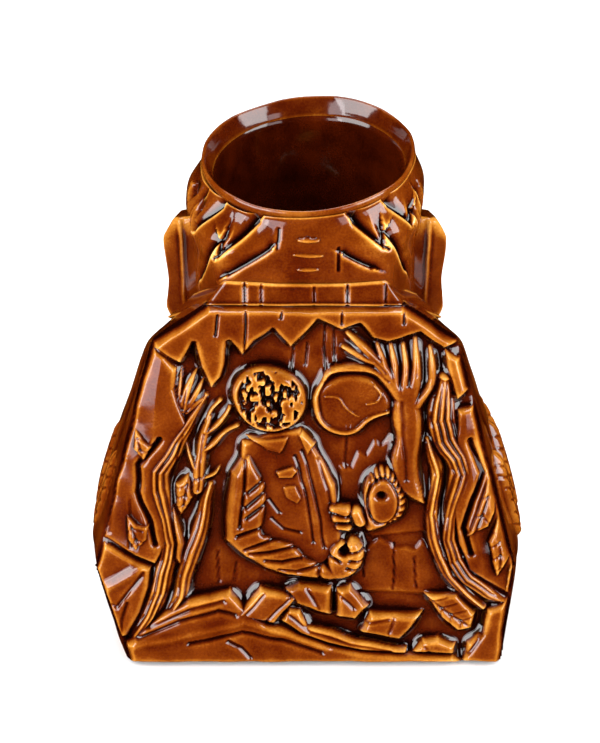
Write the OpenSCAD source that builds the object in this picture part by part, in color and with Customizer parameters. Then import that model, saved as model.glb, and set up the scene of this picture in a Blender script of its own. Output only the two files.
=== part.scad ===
// Ceramic tiki mug: a hunched bust whose open crown is the drinking mouth.
// +Z is up, the face looks along +Y, and the relief scene on the back of the cloak looks along -Y.
// The origin is the middle of the footprint, on the surface that the mug stands on.

/* [Cloak block] */
// Half-width of the back panel at its foot
foot_half = 62; // [58:1:64]
// How much further the foot's back corner reaches on the right, under the corner rock
foot_kick = 7; // [0:1:8]
// Half-width of the whole mug, at the side leaves
side_half = 78; // [77:1:80]
// Half-width of the shoulders
shoulder_half = 52; // [48:1:54]
// Half-depth of the whole mug
half_depth = 54; // [53:1:55]
// Height of the shoulders at the back panel
shoulder_z = 118; // [116:1:119]
// Height of the back panel's top, under the collar
neck_z = 131; // [130:1:132]
// How far the back panel leans in over its height
panel_lean = 20; // [18:1:22]
// Thickness of the clay wall
wall = 5; // [4:0.5:6]
// Thickness of the bottom
base_t = 5; // [4:0.5:6]

/* [Head and mouth] */
// Radius of the drinking mouth, below the lip's chamfer
mouth_r = 33; // [31:0.5:33]
// Sideways place of the mouth's middle
mouth_x = 1; // [0:0.5:1.5]
// Place of the mouth's middle from back to front
mouth_y = 11; // [10:0.5:12]
// Height of the rim at the mouth's middle
rim_z = 168.5; // [167:0.5:170]
// Thickness of the wall at the lip
lip_t = 4.5; // [4:0.5:5]
// Rise of the rim from the nape to the brow, in degrees
rim_pitch = 9.5; // [7:0.5:11]
// Rise of the rim from left to right, in degrees
rim_roll = 3; // [1:0.5:4]
// Height of the rolled lip
lip_h = 5; // [4:0.5:6]
// Height of the chin
chin_z = 77; // [75:1:79]

/* [Relief] */
// Thickness of the boldest pieces of the scene, such as the big trees
bold = 6; // [5:0.5:7]
// Thickness of the figure's clothes and the middle layer
middle = 4.5; // [4:0.5:5]
// Thickness of the low background pieces
low = 3; // [2.5:0.5:3.5]

/* [Hidden] */

// Glaze colours, light on raised clay and dark in the hollows
honey = "#b8691c";
amber = "#8a4312";
umber = "#5c280c";
biscuit = "#d9c6a4";

panel_tilt = atan(panel_lean / neck_z);
chest_tilt = 13;
side_tilt = 17;
chest_z = 36;
well_z = 84;
chamfer_h = 4;
throat_z = 132;
cut_over = 1;
big = 400;
$fn = 48;

// Place of the back panel's face at height z
function panel_y(z) = bold - half_depth + z * panel_lean / neck_z;

// Mirrored pairs of corners, from [half-width, y, z] rows drawn in by t
function pairs(rows, t) = [for (r = rows) for (s = [-1, 1])
    [s * (r[0] - t), r[1] - t * sign(r[1]), r[2]]];

// The cloak's corners, drawn in by t for the inside of the wall: foot, hips, chest and shoulders
function cloak_corners(t) = let (z0 = t == 0 ? 0 : -cut_over) concat(pairs([
    [foot_half, panel_y(z0), z0], [foot_half + 6, -28, z0], [foot_half + 5, 24, z0],
    [44, half_depth - 4, z0],
    [side_half - 5, panel_y(chest_z), chest_z], [side_half - 2, -22, chest_z],
    [side_half - 4, 26, chest_z], [50, half_depth - low, chest_z],
    [shoulder_half, panel_y(shoulder_z), shoulder_z - t], [shoulder_half + 3, -2, 104 - t],
    [48, 26, 94 - t], [36, 42, 74 - t],
    [33, panel_y(neck_z), neck_z - t], [34, 4, 121 - t], [26, 34, 98 - t]
], t), [
    [foot_half + foot_kick - t, panel_y(z0) + t, z0], [side_half - 1 - t, -20, chest_z - 4]
]);

module convex(corners) {
    hull() polyhedron(points = corners, faces = [[for (i = [0:len(corners) - 1]) i]]);
}

module cloak_solid() { convex(cloak_corners(0)); }
module cloak_inside() { convex(cloak_corners(wall)); }
module above(z) { translate([-big / 2, -big / 2, z]) cube(big); }

// The head's inside, a round well from the mouth down into the cloak
module head_well() {
    translate([mouth_x, mouth_y, well_z]) cylinder(h = throat_z - well_z, r1 = 22, r2 = mouth_r);
    translate([mouth_x, mouth_y, throat_z]) cylinder(h = big, r = mouth_r);
}

// The chamfer that slopes from the top of the lip down into the mouth
module lip_chamfer() {
    at_rim() translate([0, 0, -chamfer_h]) cylinder(h = chamfer_h + 2, r1 = mouth_r,
                                                    r2 = mouth_r + lip_t * 0.8);
}

module hollow() {
    intersection() {
        cloak_inside();
        above(base_t);
    }
    head_well();
}

// The head's facets: crown, temples, jaw and chin
crown_r = (mouth_r + lip_t) / cos(15);
module head_solid() {
    convex(concat(
        [for (a = [15:30:345]) [mouth_x + crown_r * cos(a), mouth_y + crown_r * sin(a), 190]],
        [for (a = [15:30:345]) [(crown_r + 2.5) * cos(a), mouth_y + (crown_r + 1) * sin(a), 140]],
        pairs([[30, panel_y(neck_z) + 2, 130], [38, -6, 112], [39, 20, 98], [31, 38, 92],
               [24, 50, 132], [22, 50, 100], [12, 51, 86], [11, 49, chin_z], [14, 28, chin_z + 4],
               [40, 8, 128]], 0)
    ));
}

module at_rim() {
    translate([mouth_x, mouth_y, rim_z]) rotate([rim_pitch, -rim_roll, 0]) children();
}

// All that lies above the rim's plane, lowered by d
module above_rim(d) {
    at_rim() translate([-big / 2, -big / 2, -d]) cube(big);
}

module base_plate() {
    color(biscuit) difference() {
        cloak_inside();
        above(base_t);
        mirror([0, 0, 1]) above(0);
    }
}

module cloak_shell() {
    color(amber) difference() {
        cloak_solid();
        cloak_inside();
        head_well();
    }
}

module collar_solid() {
    convex(pairs([
        [34, panel_y(neck_z), neck_z - 1], [28, panel_y(neck_z) + 1.5, 140], [47, -4, 108],
        [40, -8, 126], [38, 22, 96], [40, 10, 104], [38, 4, 118]
    ], 0));
}

module collar_band() {
    color(honey) difference() {
        collar_solid();
        cloak_solid();
        head_solid();
        hollow();
    }
}

module head_shell() {
    color(amber) difference() {
        head_solid();
        cloak_solid();
        hollow();
        above_rim(lip_h);
    }
}

module rim_lip() {
    color(honey) intersection() {
        difference() {
            head_solid();
            hollow();
            lip_chamfer();
            above_rim(0);
        }
        above_rim(lip_h);
    }
}

module ear() {
    difference() {
        convex([
            [36, 2, 146], [45, 0, 149], [49, 4, 140], [49, 6, 112], [44, 4, 103], [36, 2, 106],
            [34, 16, 146], [43, 16, 145], [45, 18, 116], [36, 16, 106]
        ]);
        head_solid();
        cloak_solid();
        collar_solid();
    }
}

module ear_left() { color(honey) mirror([1, 0, 0]) ear(); }
module ear_right() { color(honey) ear(); }

// One lock of hair that points up and outwards from the side of the head
module lock(x, y, z, s) {
    convex([
        [x - s * 4, y - 5, z - 12], [x + s * 2, y, z - 9], [x - s * 4, y + 5, z - 10],
        [x + s * 5, y, z + 3], [x - s * 4, y - 4, z], [x - s * 4, y + 5, z]
    ]);
}

module hair(s) {
    difference() {
        for (k = [0:2]) lock(s * (35 + 2 * k), -14 + 8 * k, 152 + k, s);
        head_solid();
        above_rim(lip_h);
    }
}

module hair_left() { color(amber) hair(-1); }
module hair_right() { color(amber) hair(1); }

// Three short level bars, one above another, on the nape
module nape_ridge() {
    y = mouth_y - mouth_r - lip_t;
    color(honey) difference() {
        for (z = [142, 147.5, 153])
            convex([for (x = [-4, 4], rise = [-0.8, 0.8]) [x, y - 2.2, z + rise],
                    for (x = [-6, 6], rise = [-2, 2]) [x, y + 6, z + rise]]);
        head_solid();
        collar_solid();
        cloak_solid();
    }
}

// Face pieces: each is a block pressed onto the front of the head
module on_face() {
    difference() {
        children();
        head_solid();
        cloak_solid();
    }
}

module brow() {
    color(honey) on_face() for (s = [-1, 1])
        convex([[s * 4, 52, 141], [s * 4, 53, 137], [s * 22, 52, 143], [s * 30, 44, 138],
                [s * 4, 47, 143], [s * 4, 46, 134], [s * 24, 44, 146], [s * 31, 38, 136]]);
}

module nose() {
    color(honey) on_face()
        convex([[-3, 52, 134], [3, 52, 134], [-2.5, 54, 112], [2.5, 54, 112], [-8, 52, 107],
                [8, 52, 107], [-7, 47, 105], [7, 47, 105], [-5, 46, 136], [5, 46, 136]]);
}

module eyes() {
    color(umber) on_face() for (s = [-1, 1])
        translate([s * 16, 40, 127]) rotate([-90, 0, s * -14]) cylinder(h = 12.5, r1 = 9, r2 = 6);
}

module cheeks() {
    color(amber) on_face() for (s = [-1, 1])
        convex([[s * 12, 52, 114], [s * 26, 49, 118], [s * 33, 40, 114], [s * 24, 48, 102],
                [s * 15, 52, 106], [s * 14, 40, 100], [s * 30, 30, 104], [s * 30, 32, 122]]);
}

module mouth_lips() {
    color(honey) on_face() {
        convex([[-12, 50, 97], [12, 50, 97], [0, 53, 99], [-4, 53, 100], [4, 53, 100],
                [-10, 44, 98], [10, 44, 98], [0, 52, 97]]);
        convex([[-11, 50, 96.6], [11, 50, 96.6], [-6, 53, 95], [6, 53, 95], [0, 52, 91],
                [-10, 43, 94], [10, 43, 94]]);
    }
}

module chin() {
    color(amber) on_face()
        convex([[-7, 53, 86], [7, 53, 86], [-8, 53, 80], [8, 53, 80], [-12, 46, 82],
                [12, 46, 82], [0, 52, 88]]);
}

// The frame of the chest: x to the viewer's right, y up the slope, z out of the clay
module on_chest() {
    rotate(180) translate([0, low - half_depth, chest_z]) rotate([90 - chest_tilt, 0, 0]) children();
}

// A generic string of plain beads that lies on the chest under the chin
module necklace() {
    color(honey) difference() {
        on_chest() for (k = [-4:4])
            translate([k * 9, 28 + k * k * 0.9, 0]) sphere(r = 4.2, $fn = 20);
        cloak_solid();
        head_solid();
    }
}

// A leaf outline from a pointed tip at the origin, l long and w wide
module leaf2d(l, w) {
    r = (l * l / 4 + w * w / 4) / w;
    intersection() {
        translate([r - w / 2, l / 2]) circle(r = r, $fn = 64);
        translate([w / 2 - r, l / 2]) circle(r = r, $fn = 64);
    }
}

module chest_leaves() {
    color(amber) on_chest() linear_extrude(low) for (k = [-2:2])
        translate([k * 15, 26 - abs(k) * 2]) rotate(180 - k * 9) leaf2d(26, 13);
}

// The frame of the back panel: x to the right, y up the slope, z out of the clay
module on_panel() {
    translate([0, bold - half_depth, 0]) rotate([90 - panel_tilt, 0, 0]) children();
}

// The side of a tapering stroke along a path of [x, y, half-width] points
function heading(p, i) = let (a = p[max(i - 1, 0)], b = p[min(i + 1, len(p) - 1)])
    [b[0] - a[0], b[1] - a[1]] / norm([b[0] - a[0], b[1] - a[1]]);
function flank_of(p, s) = [for (i = [0:len(p) - 1]) let (h = heading(p, i))
    [p[i][0] - s * h[1] * p[i][2], p[i][1] + s * h[0] * p[i][2]]];
function reversed(v) = [for (i = [len(v) - 1:-1:0]) v[i]];
module stroke(p) { polygon(concat(flank_of(p, 1), reversed(flank_of(p, -1)))); }

module raised(h) { on_panel() linear_extrude(h) children(); }

// The scene's outlines, in millimetres across and up the back panel
module fringe_shape() {
    polygon([
        [-50, 118.5], [-46, 115], [-42, 111], [-38, 119], [-35, 108], [-31, 102], [-28, 105],
        [-26, 121], [-22, 114], [-17, 118], [-10, 124], [-5, 116], [5, 127], [13, 123],
        [18, 126], [22, 120], [33, 119], [38, 122], [43, 119], [48, 117], [50, 119],
        [33, 131], [-33, 131]
    ]);
}

module frame_left_shape() {
    difference() {
        polygon([[-51, 118], [-57.5, 96], [-63.5, 74], [-70.5, 45], [-50, 34], [-44, 72], [-30, 100],
                 [-46, 115]]);
        tree_left_shape();
        dead_tree_shape();
        fronds_shape();
        leaves_left_shape();
        fringe_shape();
        rock_left_shape();
    }
}

module frame_right_shape() {
    difference() {
        polygon([[48, 117], [53, 112], [56, 103], [60.5, 86], [65.5, 66], [71, 44], [70.5, 20], [68, 3],
                 [54, 3], [56, 14], [64, 24], [54, 34], [50, 60], [46, 104]]);
        tree_right_shape();
        tree_right_branch_shape();
        leaves_right_shape();
        leaf_low_shape();
        rock_low_shape();
        fringe_shape();
    }
}

module tree_left_shape() {
    stroke([[-34, 99, 1.5], [-41, 88, 4], [-51, 72, 5], [-48, 55, 5], [-49, 38, 5], [-55, 20, 5],
            [-60, 8, 3]]);
    stroke([[-52, 74, 2.5], [-49, 86, 2], [-48, 96, 1]]);
}

module fork_shape() {
    difference() {
        stroke([[-49, 16, 4], [-43, 30, 4.5], [-38, 42, 4], [-35, 54, 3], [-33, 66, 2]]);
        tree_left_shape();
        log_shape();
    }
}

module dead_tree_shape() {
    difference() {
        union() {
            stroke([[-34, 66, 2.5], [-35, 80, 2.3], [-35, 96, 1.2]]);
            stroke([[-35, 72, 1.4], [-29, 78, 1.4], [-25, 88, 1], [-22, 93, 0.8]]);
            stroke([[-35, 84, 1.3], [-30, 90, 1.2], [-29, 97, 0.8]]);
            stroke([[-35, 76, 1.2], [-40, 84, 0.8]]);
        }
        head_shape();
        sleeve_shape();
        tree_left_shape();
        fork_shape();
    }
}

module fronds_shape() {
    difference() {
        for (k = [0:2]) stroke([[-40 + k * 2, 94 + k * 2, 1.6], [-43 + k * 4, 102 + k, 1.8],
                                [-43 + k * 5, 109 - k * 2, 0.6]]);
        tree_left_shape();
        dead_tree_shape();
        fringe_shape();
    }
}

module leaves_left_shape() {
    difference() {
        union() {
            polygon([[-60, 92], [-51, 83], [-54, 74], [-59, 82]]);
            polygon([[-41, 74], [-45, 67], [-43, 54], [-38, 62]]);
            polygon([[-63, 59], [-52, 49], [-60, 43], [-65, 49]]);
        }
        tree_left_shape();
        dead_tree_shape();
    }
}

module rock_left_shape() {
    difference() {
        polygon([[-70.5, 46], [-62, 41], [-53, 37], [-56, 22], [-62, 8], [-68, 22], [-71.5, 35]]);
        tree_left_shape();
        log_shape();
        leaves_left_shape();
    }
}

module head_shape() {
    translate([-12, 99]) {
        circle(r = 9.5);
        for (a = [0:36:359]) rotate(a) translate([9.6, 0]) circle(r = 3);
    }
}

module collar_shape() {
    difference() {
        union() {
            polygon([[-21, 86], [-5, 86], [-8, 77], [-19, 82]]);
            polygon([[-4, 86], [2, 87], [4, 82], [0, 78]]);
        }
        head_shape();
    }
}

module sleeve_shape() {
    polygon([
        [-20, 80], [-26, 73], [-27.5, 60], [-28, 47], [-18, 38], [-8, 34], [4, 31.5], [13, 32],
        [15, 37], [6, 40], [2, 43], [-4, 48], [-12, 51], [-13, 60], [-12.5, 70], [-16, 78]
    ]);
}

module pocket_shape() {
    polygon([[-11, 74], [-4, 76], [-2, 73], [-4, 70], [-9, 70]]);
    polygon([[-9, 69], [-3, 69], [-1, 62], [-5, 60], [-9, 64]]);
}

module hands_shape() {
    stroke([[8, 60, 2.5], [13, 59, 3], [17, 56, 2]]);
    for (k = [0:3]) stroke([[9 + k, 46 - k * 4, 2], [14 + k, 46 - k * 4, 2], [17, 44 - k * 3, 1.2]]);
}

module jacket_shape() {
    difference() {
        polygon([[-17, 83], [-3, 84], [3, 83], [8, 74], [10, 64], [10, 50], [7, 40], [0, 38],
                 [-13, 50]]);
        sleeve_shape();
        collar_shape();
        pocket_shape();
        hands_shape();
        gourd_shape();
    }
}

module gourd_shape() {
    translate([26, 64]) {
        circle(r = 8);
        for (a = [20:40:359]) rotate(a) translate([8, 0]) circle(r = 2.2, $fn = 24);
    }
}

module legs_shape() {
    difference() {
        union() {
            polygon([[-2, 31], [10, 31], [10, 19], [3, 20], [-1, 24]]);
            polygon([[10.5, 30], [16, 31], [23, 23], [19, 17], [10.5, 19]]);
        }
        sleeve_shape();
    }
}

module boot_shape() {
    polygon([[23.5, 22], [40, 21], [37, 14], [33, 10], [20, 12], [20, 17]]);
}

module back_tree_shape() {
    difference() {
        union() {
            polygon([[29, 92], [31, 86], [30, 79], [26, 72], [36, 62], [39, 64], [38, 74],
                     [37, 80], [39, 92], [36, 100], [31, 99]]);
            stroke([[33, 98, 3], [27, 106, 2.2], [18, 109, 1.8], [9, 109, 1.6], [6, 103, 1]]);
            for (k = [0:2]) stroke([[30 + k * 3, 102 - k, 1.8], [24 + k * 5, 111, 1.6],
                                    [16 + k * 8, 119 - k, 0.6]]);
            stroke([[37, 96, 2], [38, 106, 1.8], [37, 118, 0.8]]);
            stroke([[39, 98, 1.6], [43, 106, 1.6], [43, 114, 0.8]]);
        }
        gourd_shape();
        tree_right_shape();
        tree_right_branch_shape();
        fringe_shape();
    }
}

module knot_shape() {
    difference() {
        translate([14, 96]) circle(r = 10);
        translate([15, 97]) circle(r = 6.5);
        head_shape();
        back_tree_shape();
    }
    difference() {
        stroke([[20, 89.5, 1.4], [24, 92, 1.4], [27, 91, 1]]);
        back_tree_shape();
        translate([14, 96]) circle(r = 10);
    }
}

module tree_right_shape() {
    stroke([[46, 106, 3], [46, 96, 5], [50, 82, 6], [50, 70, 6], [48, 58, 5], [49, 46, 5],
            [56, 34, 5], [65, 24, 4]]);
}

module tree_right_branch_shape() {
    difference() {
        stroke([[39, 62, 1.5], [42, 50, 2.5], [46, 38, 3], [54, 29, 2.5], [60, 23, 1]]);
        tree_right_shape();
    }
}

module leaves_right_shape() {
    difference() {
        union() {
            polygon([[60, 72], [64, 74], [66, 70], [65, 58], [56, 47], [57, 60]]);
            translate([65, 31]) rotate(-8) leaf2d(28, 9);
        }
        tree_right_shape();
    }
}

module leaf_low_shape() {
    difference() {
        polygon([[40, 27], [49, 28], [54, 25], [59, 20], [57, 15], [53, 13], [46, 17]]);
        tree_right_shape();
        tree_right_branch_shape();
    }
}

module rock_low_shape() {
    polygon([[37, 4], [40, 9], [45, 11.5], [53, 10], [53, 4]]);
}

module log_shape() {
    polygon([[-62, 1], [-61, 8], [-46, 19], [-30, 26], [-25, 18], [-13, 14.5], [2, 9], [16, 5],
             [34, 3.5], [34, 1]]);
}

module slab_shape() {
    polygon([[-25.5, 19], [-18, 29], [-3, 28], [-12, 15]]);
}

module strip_shape() {
    difference() {
        polygon([[-9, 17], [-6, 23], [0, 20], [4, 15], [18, 10], [35, 7], [35, 3.5], [16, 5],
                 [2, 9]]);
        log_shape();
        legs_shape();
        boot_shape();
        slab_shape();
    }
}

module frame_left() { color(amber) raised(middle) frame_left_shape(); }
module frame_right() { color(amber) raised(middle) frame_right_shape(); }
module cave_fringe() { color(honey) raised(middle) fringe_shape(); }
module tree_left() { color(honey) raised(bold) tree_left_shape(); }
module tree_left_fork() { color(honey) raised(middle) fork_shape(); }
module dead_tree() { color(honey) raised(low) dead_tree_shape(); }
module fronds_left() { color(honey) raised(low) fronds_shape(); }
module leaves_left() { color(amber) raised(low) leaves_left_shape(); }
module rock_left() { color(amber) raised(middle) rock_left_shape(); }
module figure_head() { color(umber) raised(bold) head_shape(); }
module figure_collar() { color(honey) raised(bold) collar_shape(); }
module figure_jacket() { color(amber) raised(middle) jacket_shape(); }
module figure_sleeve() { color(honey) raised(bold) sleeve_shape(); }
module figure_pocket() { color(honey) raised(bold) pocket_shape(); }
module figure_hands() { color(honey) raised(bold) hands_shape_seated(); }
module figure_legs() { color(amber) raised(middle) legs_shape(); }
module figure_boot() { color(honey) raised(middle) boot_shape(); }
module back_tree() { color(honey) raised(middle) back_tree_shape(); }
module vine_knot() { color(honey) raised(low) knot_shape(); }
module tree_right() { color(honey) raised(bold) tree_right_shape(); }
module tree_right_branch() { color(honey) raised(middle) tree_right_branch_shape(); }
module leaves_right() { color(amber) raised(middle) leaves_right_shape(); }
module leaf_low() { color(honey) raised(low) leaf_low_shape(); }
module rock_low() { color(amber) raised(low) rock_low_shape(); }
module root_log() { color(honey) raised(bold) log_shape(); }
module log_slab() { color(amber) raised(middle) difference() { slab_shape(); log_shape(); } }
module ground_strip() { color(amber) raised(low) strip_shape(); }

module hands_shape_seated() {
    difference() {
        hands_shape();
        sleeve_shape();
        gourd_shape();
    }
}

module held_gourd() {
    color(umber) on_panel() difference() {
        linear_extrude(bold) gourd_shape();
        translate([26, 65, bold - 2]) cylinder(h = 4, r = 2);
    }
}

// The frame of the right side: x towards the face, y up the slope, z out of the clay
module on_side() {
    translate([side_half - low, 0, chest_z]) rotate([0, -side_tilt, 0]) rotate([90, 0, 90]) children();
}

// Three broad leaves pressed onto the side of the cloak
module side_leaves() {
    difference() {
        on_side() translate([0, 0, -low * 2]) linear_extrude(low * 3) for (k = [-1:1])
            translate([2 + k * 17, 2 + abs(k) * 3]) rotate(-k * 10) leaf2d(46, 16);
        cloak_solid();
    }
}

module side_leaves_left() { color(amber) mirror([1, 0, 0]) side_leaves(); }
module side_leaves_right() { color(amber) side_leaves(); }

base_plate();
cloak_shell();
collar_band();
head_shell();
rim_lip();
ear_left();
ear_right();
hair_left();
hair_right();
nape_ridge();
brow();
nose();
eyes();
cheeks();
mouth_lips();
chin();
necklace();
chest_leaves();
cave_fringe();
frame_left();
frame_right();
tree_left();
tree_left_fork();
dead_tree();
fronds_left();
leaves_left();
rock_left();
figure_head();
figure_collar();
figure_jacket();
figure_sleeve();
figure_pocket();
figure_hands();
figure_legs();
figure_boot();
held_gourd();
back_tree();
vine_knot();
tree_right();
tree_right_branch();
leaves_right();
leaf_low();
rock_low();
root_log();
log_slab();
ground_strip();
side_leaves_left();
side_leaves_right();
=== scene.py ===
import math
import bpy
import numpy as np
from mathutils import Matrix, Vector


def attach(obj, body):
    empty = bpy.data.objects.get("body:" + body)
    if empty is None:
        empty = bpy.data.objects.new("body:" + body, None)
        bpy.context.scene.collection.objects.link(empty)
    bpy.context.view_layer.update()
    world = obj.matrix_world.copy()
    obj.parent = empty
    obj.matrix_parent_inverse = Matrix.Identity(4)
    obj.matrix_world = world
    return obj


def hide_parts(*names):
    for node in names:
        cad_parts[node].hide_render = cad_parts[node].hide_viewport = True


# A slip-cast tiki mug seen from behind the bust. All sizes are in millimetres until make_piece,
# which turns them into metres. The row frame has +Z up and the relief scene facing -Y.

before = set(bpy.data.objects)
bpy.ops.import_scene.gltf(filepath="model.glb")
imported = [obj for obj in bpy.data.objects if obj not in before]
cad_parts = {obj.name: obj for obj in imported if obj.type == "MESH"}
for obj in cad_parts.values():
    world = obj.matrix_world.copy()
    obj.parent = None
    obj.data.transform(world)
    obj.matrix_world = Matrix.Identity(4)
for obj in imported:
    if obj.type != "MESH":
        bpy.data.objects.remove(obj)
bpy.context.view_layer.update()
MM = 0.001

# ---------------------------------------------------------------- the frame's planes


def node_points(name):
    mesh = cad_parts[name].data
    co = np.empty(len(mesh.vertices) * 3)
    mesh.vertices.foreach_get("co", co)
    return co.reshape(-1, 3) / MM


def outer_planes(name, keep):
    """Outward planes [normal, distance] with the whole CAD node behind them."""
    points = node_points(name)
    planes = {}
    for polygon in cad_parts[name].data.polygons:
        normal = np.array(polygon.normal)
        if polygon.area < 1e-7 or not keep(normal):
            continue
        distance = float(np.dot(normal, np.array(polygon.center) / MM))
        if (points @ normal).max() - distance < 0.05:
            planes[tuple(np.round(normal, 2)) + (round(distance),)] = np.append(normal, distance)
    return np.array(list(planes.values()))


CLOAK = outer_planes("cloak_shell", lambda n: n[2] > -0.97)
HEAD = outer_planes("head_shell", lambda n: n[2] < 0.6)
PANEL = CLOAK[np.argmin(CLOAK[:, 1])]
PANEL_N = PANEL[:3]
PANEL_UP = np.array([0, -PANEL_N[2], PANEL_N[1]]) * -1
PANEL_FOOT = np.array([0, PANEL[3] / PANEL_N[1], 0])

MOUTH_R = 33.0
RIM_R, FACET_R = 36.4, 37.9
MOUTH = np.array([1.0, 11.0, 168.5])
RIM_PITCH, RIM_ROLL = math.radians(9.5), math.radians(3)
WELL_FOOT, WELL_FOOT_R, THROAT = 84.0, 22.0, 132.0
WALL = 5.0
BASE_T = 5.0
PANEL_TOP = 132.5

# ---------------------------------------------------------------- number helpers


def pitch(fine, coarse):
    return fine


LATTICE = np.random.RandomState(11).rand(32, 32, 32) * 2 - 1


def noise(points, size, seed=0.0):
    """Smooth noise from -1 to 1 whose bumps are about size across."""
    q = np.asarray(points) / size + seed
    base = np.floor(q).astype(int)
    f = q - base
    f = f * f * (3 - 2 * f)
    total = 0
    for dx in (0, 1):
        for dy in (0, 1):
            for dz in (0, 1):
                weight = np.abs(1 - dx - f[..., 0]) * np.abs(1 - dy - f[..., 1]) * np.abs(1 - dz - f[..., 2])
                corner = (base + (dx, dy, dz)) % 32
                total = total + weight * LATTICE[corner[..., 0], corner[..., 1], corner[..., 2]]
    return total


def smooth_min(values, softness, axis=0):
    """The smallest of several values, with the corners between them rounded."""
    low = values.min(axis=axis, keepdims=True)
    spread = np.exp(-(values - low) / softness).sum(axis=axis)
    return np.squeeze(low, axis=axis) - softness * np.log(spread)


def step(value, low, high):
    """0 below low, 1 above high and smooth between them."""
    f = np.clip((value - low) / (high - low), 0, 1)
    return f * f * (3 - 2 * f)


def reach(planes, origin, direction, softness, inset=0.0):
    """How far a ray runs from origin before it leaves the rounded solid behind the planes."""
    along = np.einsum("pk,...k->p...", planes[:, :3], direction)
    room = planes[:, 3].reshape((-1,) + (1,) * (along.ndim - 1)) - inset
    room = room - np.einsum("pk,...k->p...", planes[:, :3], origin)
    far = 400.0
    distance = np.where(along > 0.02, room / np.maximum(along, 0.02), far)
    return smooth_min(np.minimum(distance, far), softness)


def blur(field, sigma):
    """Gaussian blur of a grid, sigma in cells."""
    taps = np.arange(-int(3 * sigma), int(3 * sigma) + 1)
    kernel = np.exp(-taps ** 2 / (2 * sigma ** 2))
    kernel /= kernel.sum()
    out = field
    for axis in (0, 1):
        pad = [(0, 0), (0, 0)]
        pad[axis] = (len(taps) // 2, len(taps) // 2)
        wide = np.pad(out, pad, mode="edge")
        out = sum(k * np.take(wide, range(i, i + field.shape[axis]), axis=axis)
                  for i, k in enumerate(kernel))
    return out


# ---------------------------------------------------------------- sheets: height fields on a surface


class Sheet:
    """A grid of points on a surface and the direction that relief stands up in."""

    def __init__(self, u_range, v_range, pitch, surface, wobble=0.45):
        self.u = np.arange(u_range[0], u_range[1] + pitch, pitch)
        self.v = np.arange(v_range[0], v_range[1] + pitch, pitch)
        self.pitch = pitch
        self.U, self.V = np.meshgrid(self.u, self.v, indexing="ij")
        self.base, self.out = surface(self.U, self.V)
        spot = np.stack([self.U, self.V, 0 * self.U], -1)
        self.X = self.U + wobble * noise(spot, 7, 3.1)
        self.T = self.V + wobble * noise(spot, 7, 8.7)
        self.top = 0.25 * noise(spot, 9, 5.5)
        self.grain = noise(spot * (1, 0.25, 1), 2.2, 1.3)

    def sample(self, field, u, v):
        """The field at any places, blended between its grid points."""
        i = np.clip((u - self.u[0]) / self.pitch, 0, len(self.u) - 1.001)
        j = np.clip((v - self.v[0]) / self.pitch, 0, len(self.v) - 1.001)
        a, b = i.astype(int), j.astype(int)
        f, g = i - a, j - b
        low = field[a, b] * (1 - f) + field[a + 1, b] * f
        high = field[a, b + 1] * (1 - f) + field[a + 1, b + 1] * f
        return low * (1 - g) + high * g


def nearest(sheet, a, b):
    """How far along the segment from a to b each grid point lies, from 0 to 1, and how far off it."""
    dx, dy = b[0] - a[0], b[1] - a[1]
    f = np.clip(((sheet.X - a[0]) * dx + (sheet.T - a[1]) * dy) / (dx * dx + dy * dy), 0, 1)
    return f, np.hypot(sheet.X - a[0] - f * dx, sheet.T - a[1] - f * dy)


def line_distance(sheet, path):
    """Distance from every grid point to a polyline."""
    best = np.full(sheet.X.shape, 99.0)
    for a, b in zip(path[:-1], path[1:]):
        best = np.minimum(best, nearest(sheet, a, b)[1])
    return best


def rounded(path, closed=False):
    """The path with its corners cut twice, which turns a few points into a flowing line."""
    path = np.array(path, float)
    for _ in range(2):
        ahead = np.roll(path, -1, axis=0)
        both_ways = np.stack([0.75 * path + 0.25 * ahead, 0.25 * path + 0.75 * ahead], 1)
        flowing = both_ways.reshape(-1, path.shape[1])
        path = flowing if closed else np.concatenate([path[:1], flowing[1:-3], path[-1:]])
    return [tuple(point) for point in path]


def stroke(sheet, path):
    """Depth inside a tapering stroke along [x, y, half-width] points, negative outside."""
    path = rounded(path)
    best = np.full(sheet.X.shape, -99.0)
    for a, b in zip(path[:-1], path[1:]):
        f, gap = nearest(sheet, a, b)
        best = np.maximum(best, a[2] + f * (b[2] - a[2]) - gap)
    return best


def area(sheet, outline):
    """Depth inside a closed outline, negative outside."""
    ring = list(outline) + [outline[0]]
    inside = np.zeros(sheet.X.shape, bool)
    for (ax, ay), (bx, by) in zip(ring[:-1], ring[1:]):
        crosses = (ay > sheet.T) != (by > sheet.T)
        slope = (bx - ax) / (by - ay if by != ay else 1e-9)
        inside ^= crosses & (sheet.X < ax + (sheet.T - ay) * slope)
    gap = line_distance(sheet, ring)
    return np.where(inside, gap, -gap)


def empty(sheet):
    """A field that lies under its surface everywhere."""
    return np.full(sheet.X.shape, -9.0)


def disc(sheet, x, y, r):
    return r - np.hypot(sheet.X - x, sheet.T - y)


def beside(path, share):
    """A line that keeps a share of the half-width off the middle of a stroke."""
    points = np.array(path, float)
    ahead = np.gradient(points[:, :2], axis=0)
    ahead /= np.linalg.norm(ahead, axis=1, keepdims=True)
    side = np.stack([-ahead[:, 1], ahead[:, 0]], 1)
    return [tuple(p) for p in points[:, :2] + side * points[:, 2:3] * share]


SOFT_EDGE = 1.3


def slab(depth, height, edge):
    """Height of a raised shape with rounded shoulders and steep sides."""
    rise = height * (1 - (1 - np.clip(depth / (edge * SOFT_EDGE), 0, 1)) ** 2.2)
    return np.where(depth > 0, rise, depth * 6)


def cut(sheet, field, path, width, depth):
    """Carves a rounded groove along a line."""
    return field - depth * np.exp(-(line_distance(sheet, path) / width) ** 2)


def cuts(sheet, field, width, depth, *paths):
    """Carves the same groove along several lines."""
    for path in paths:
        field = cut(sheet, field, path, width, depth)
    return field


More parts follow.
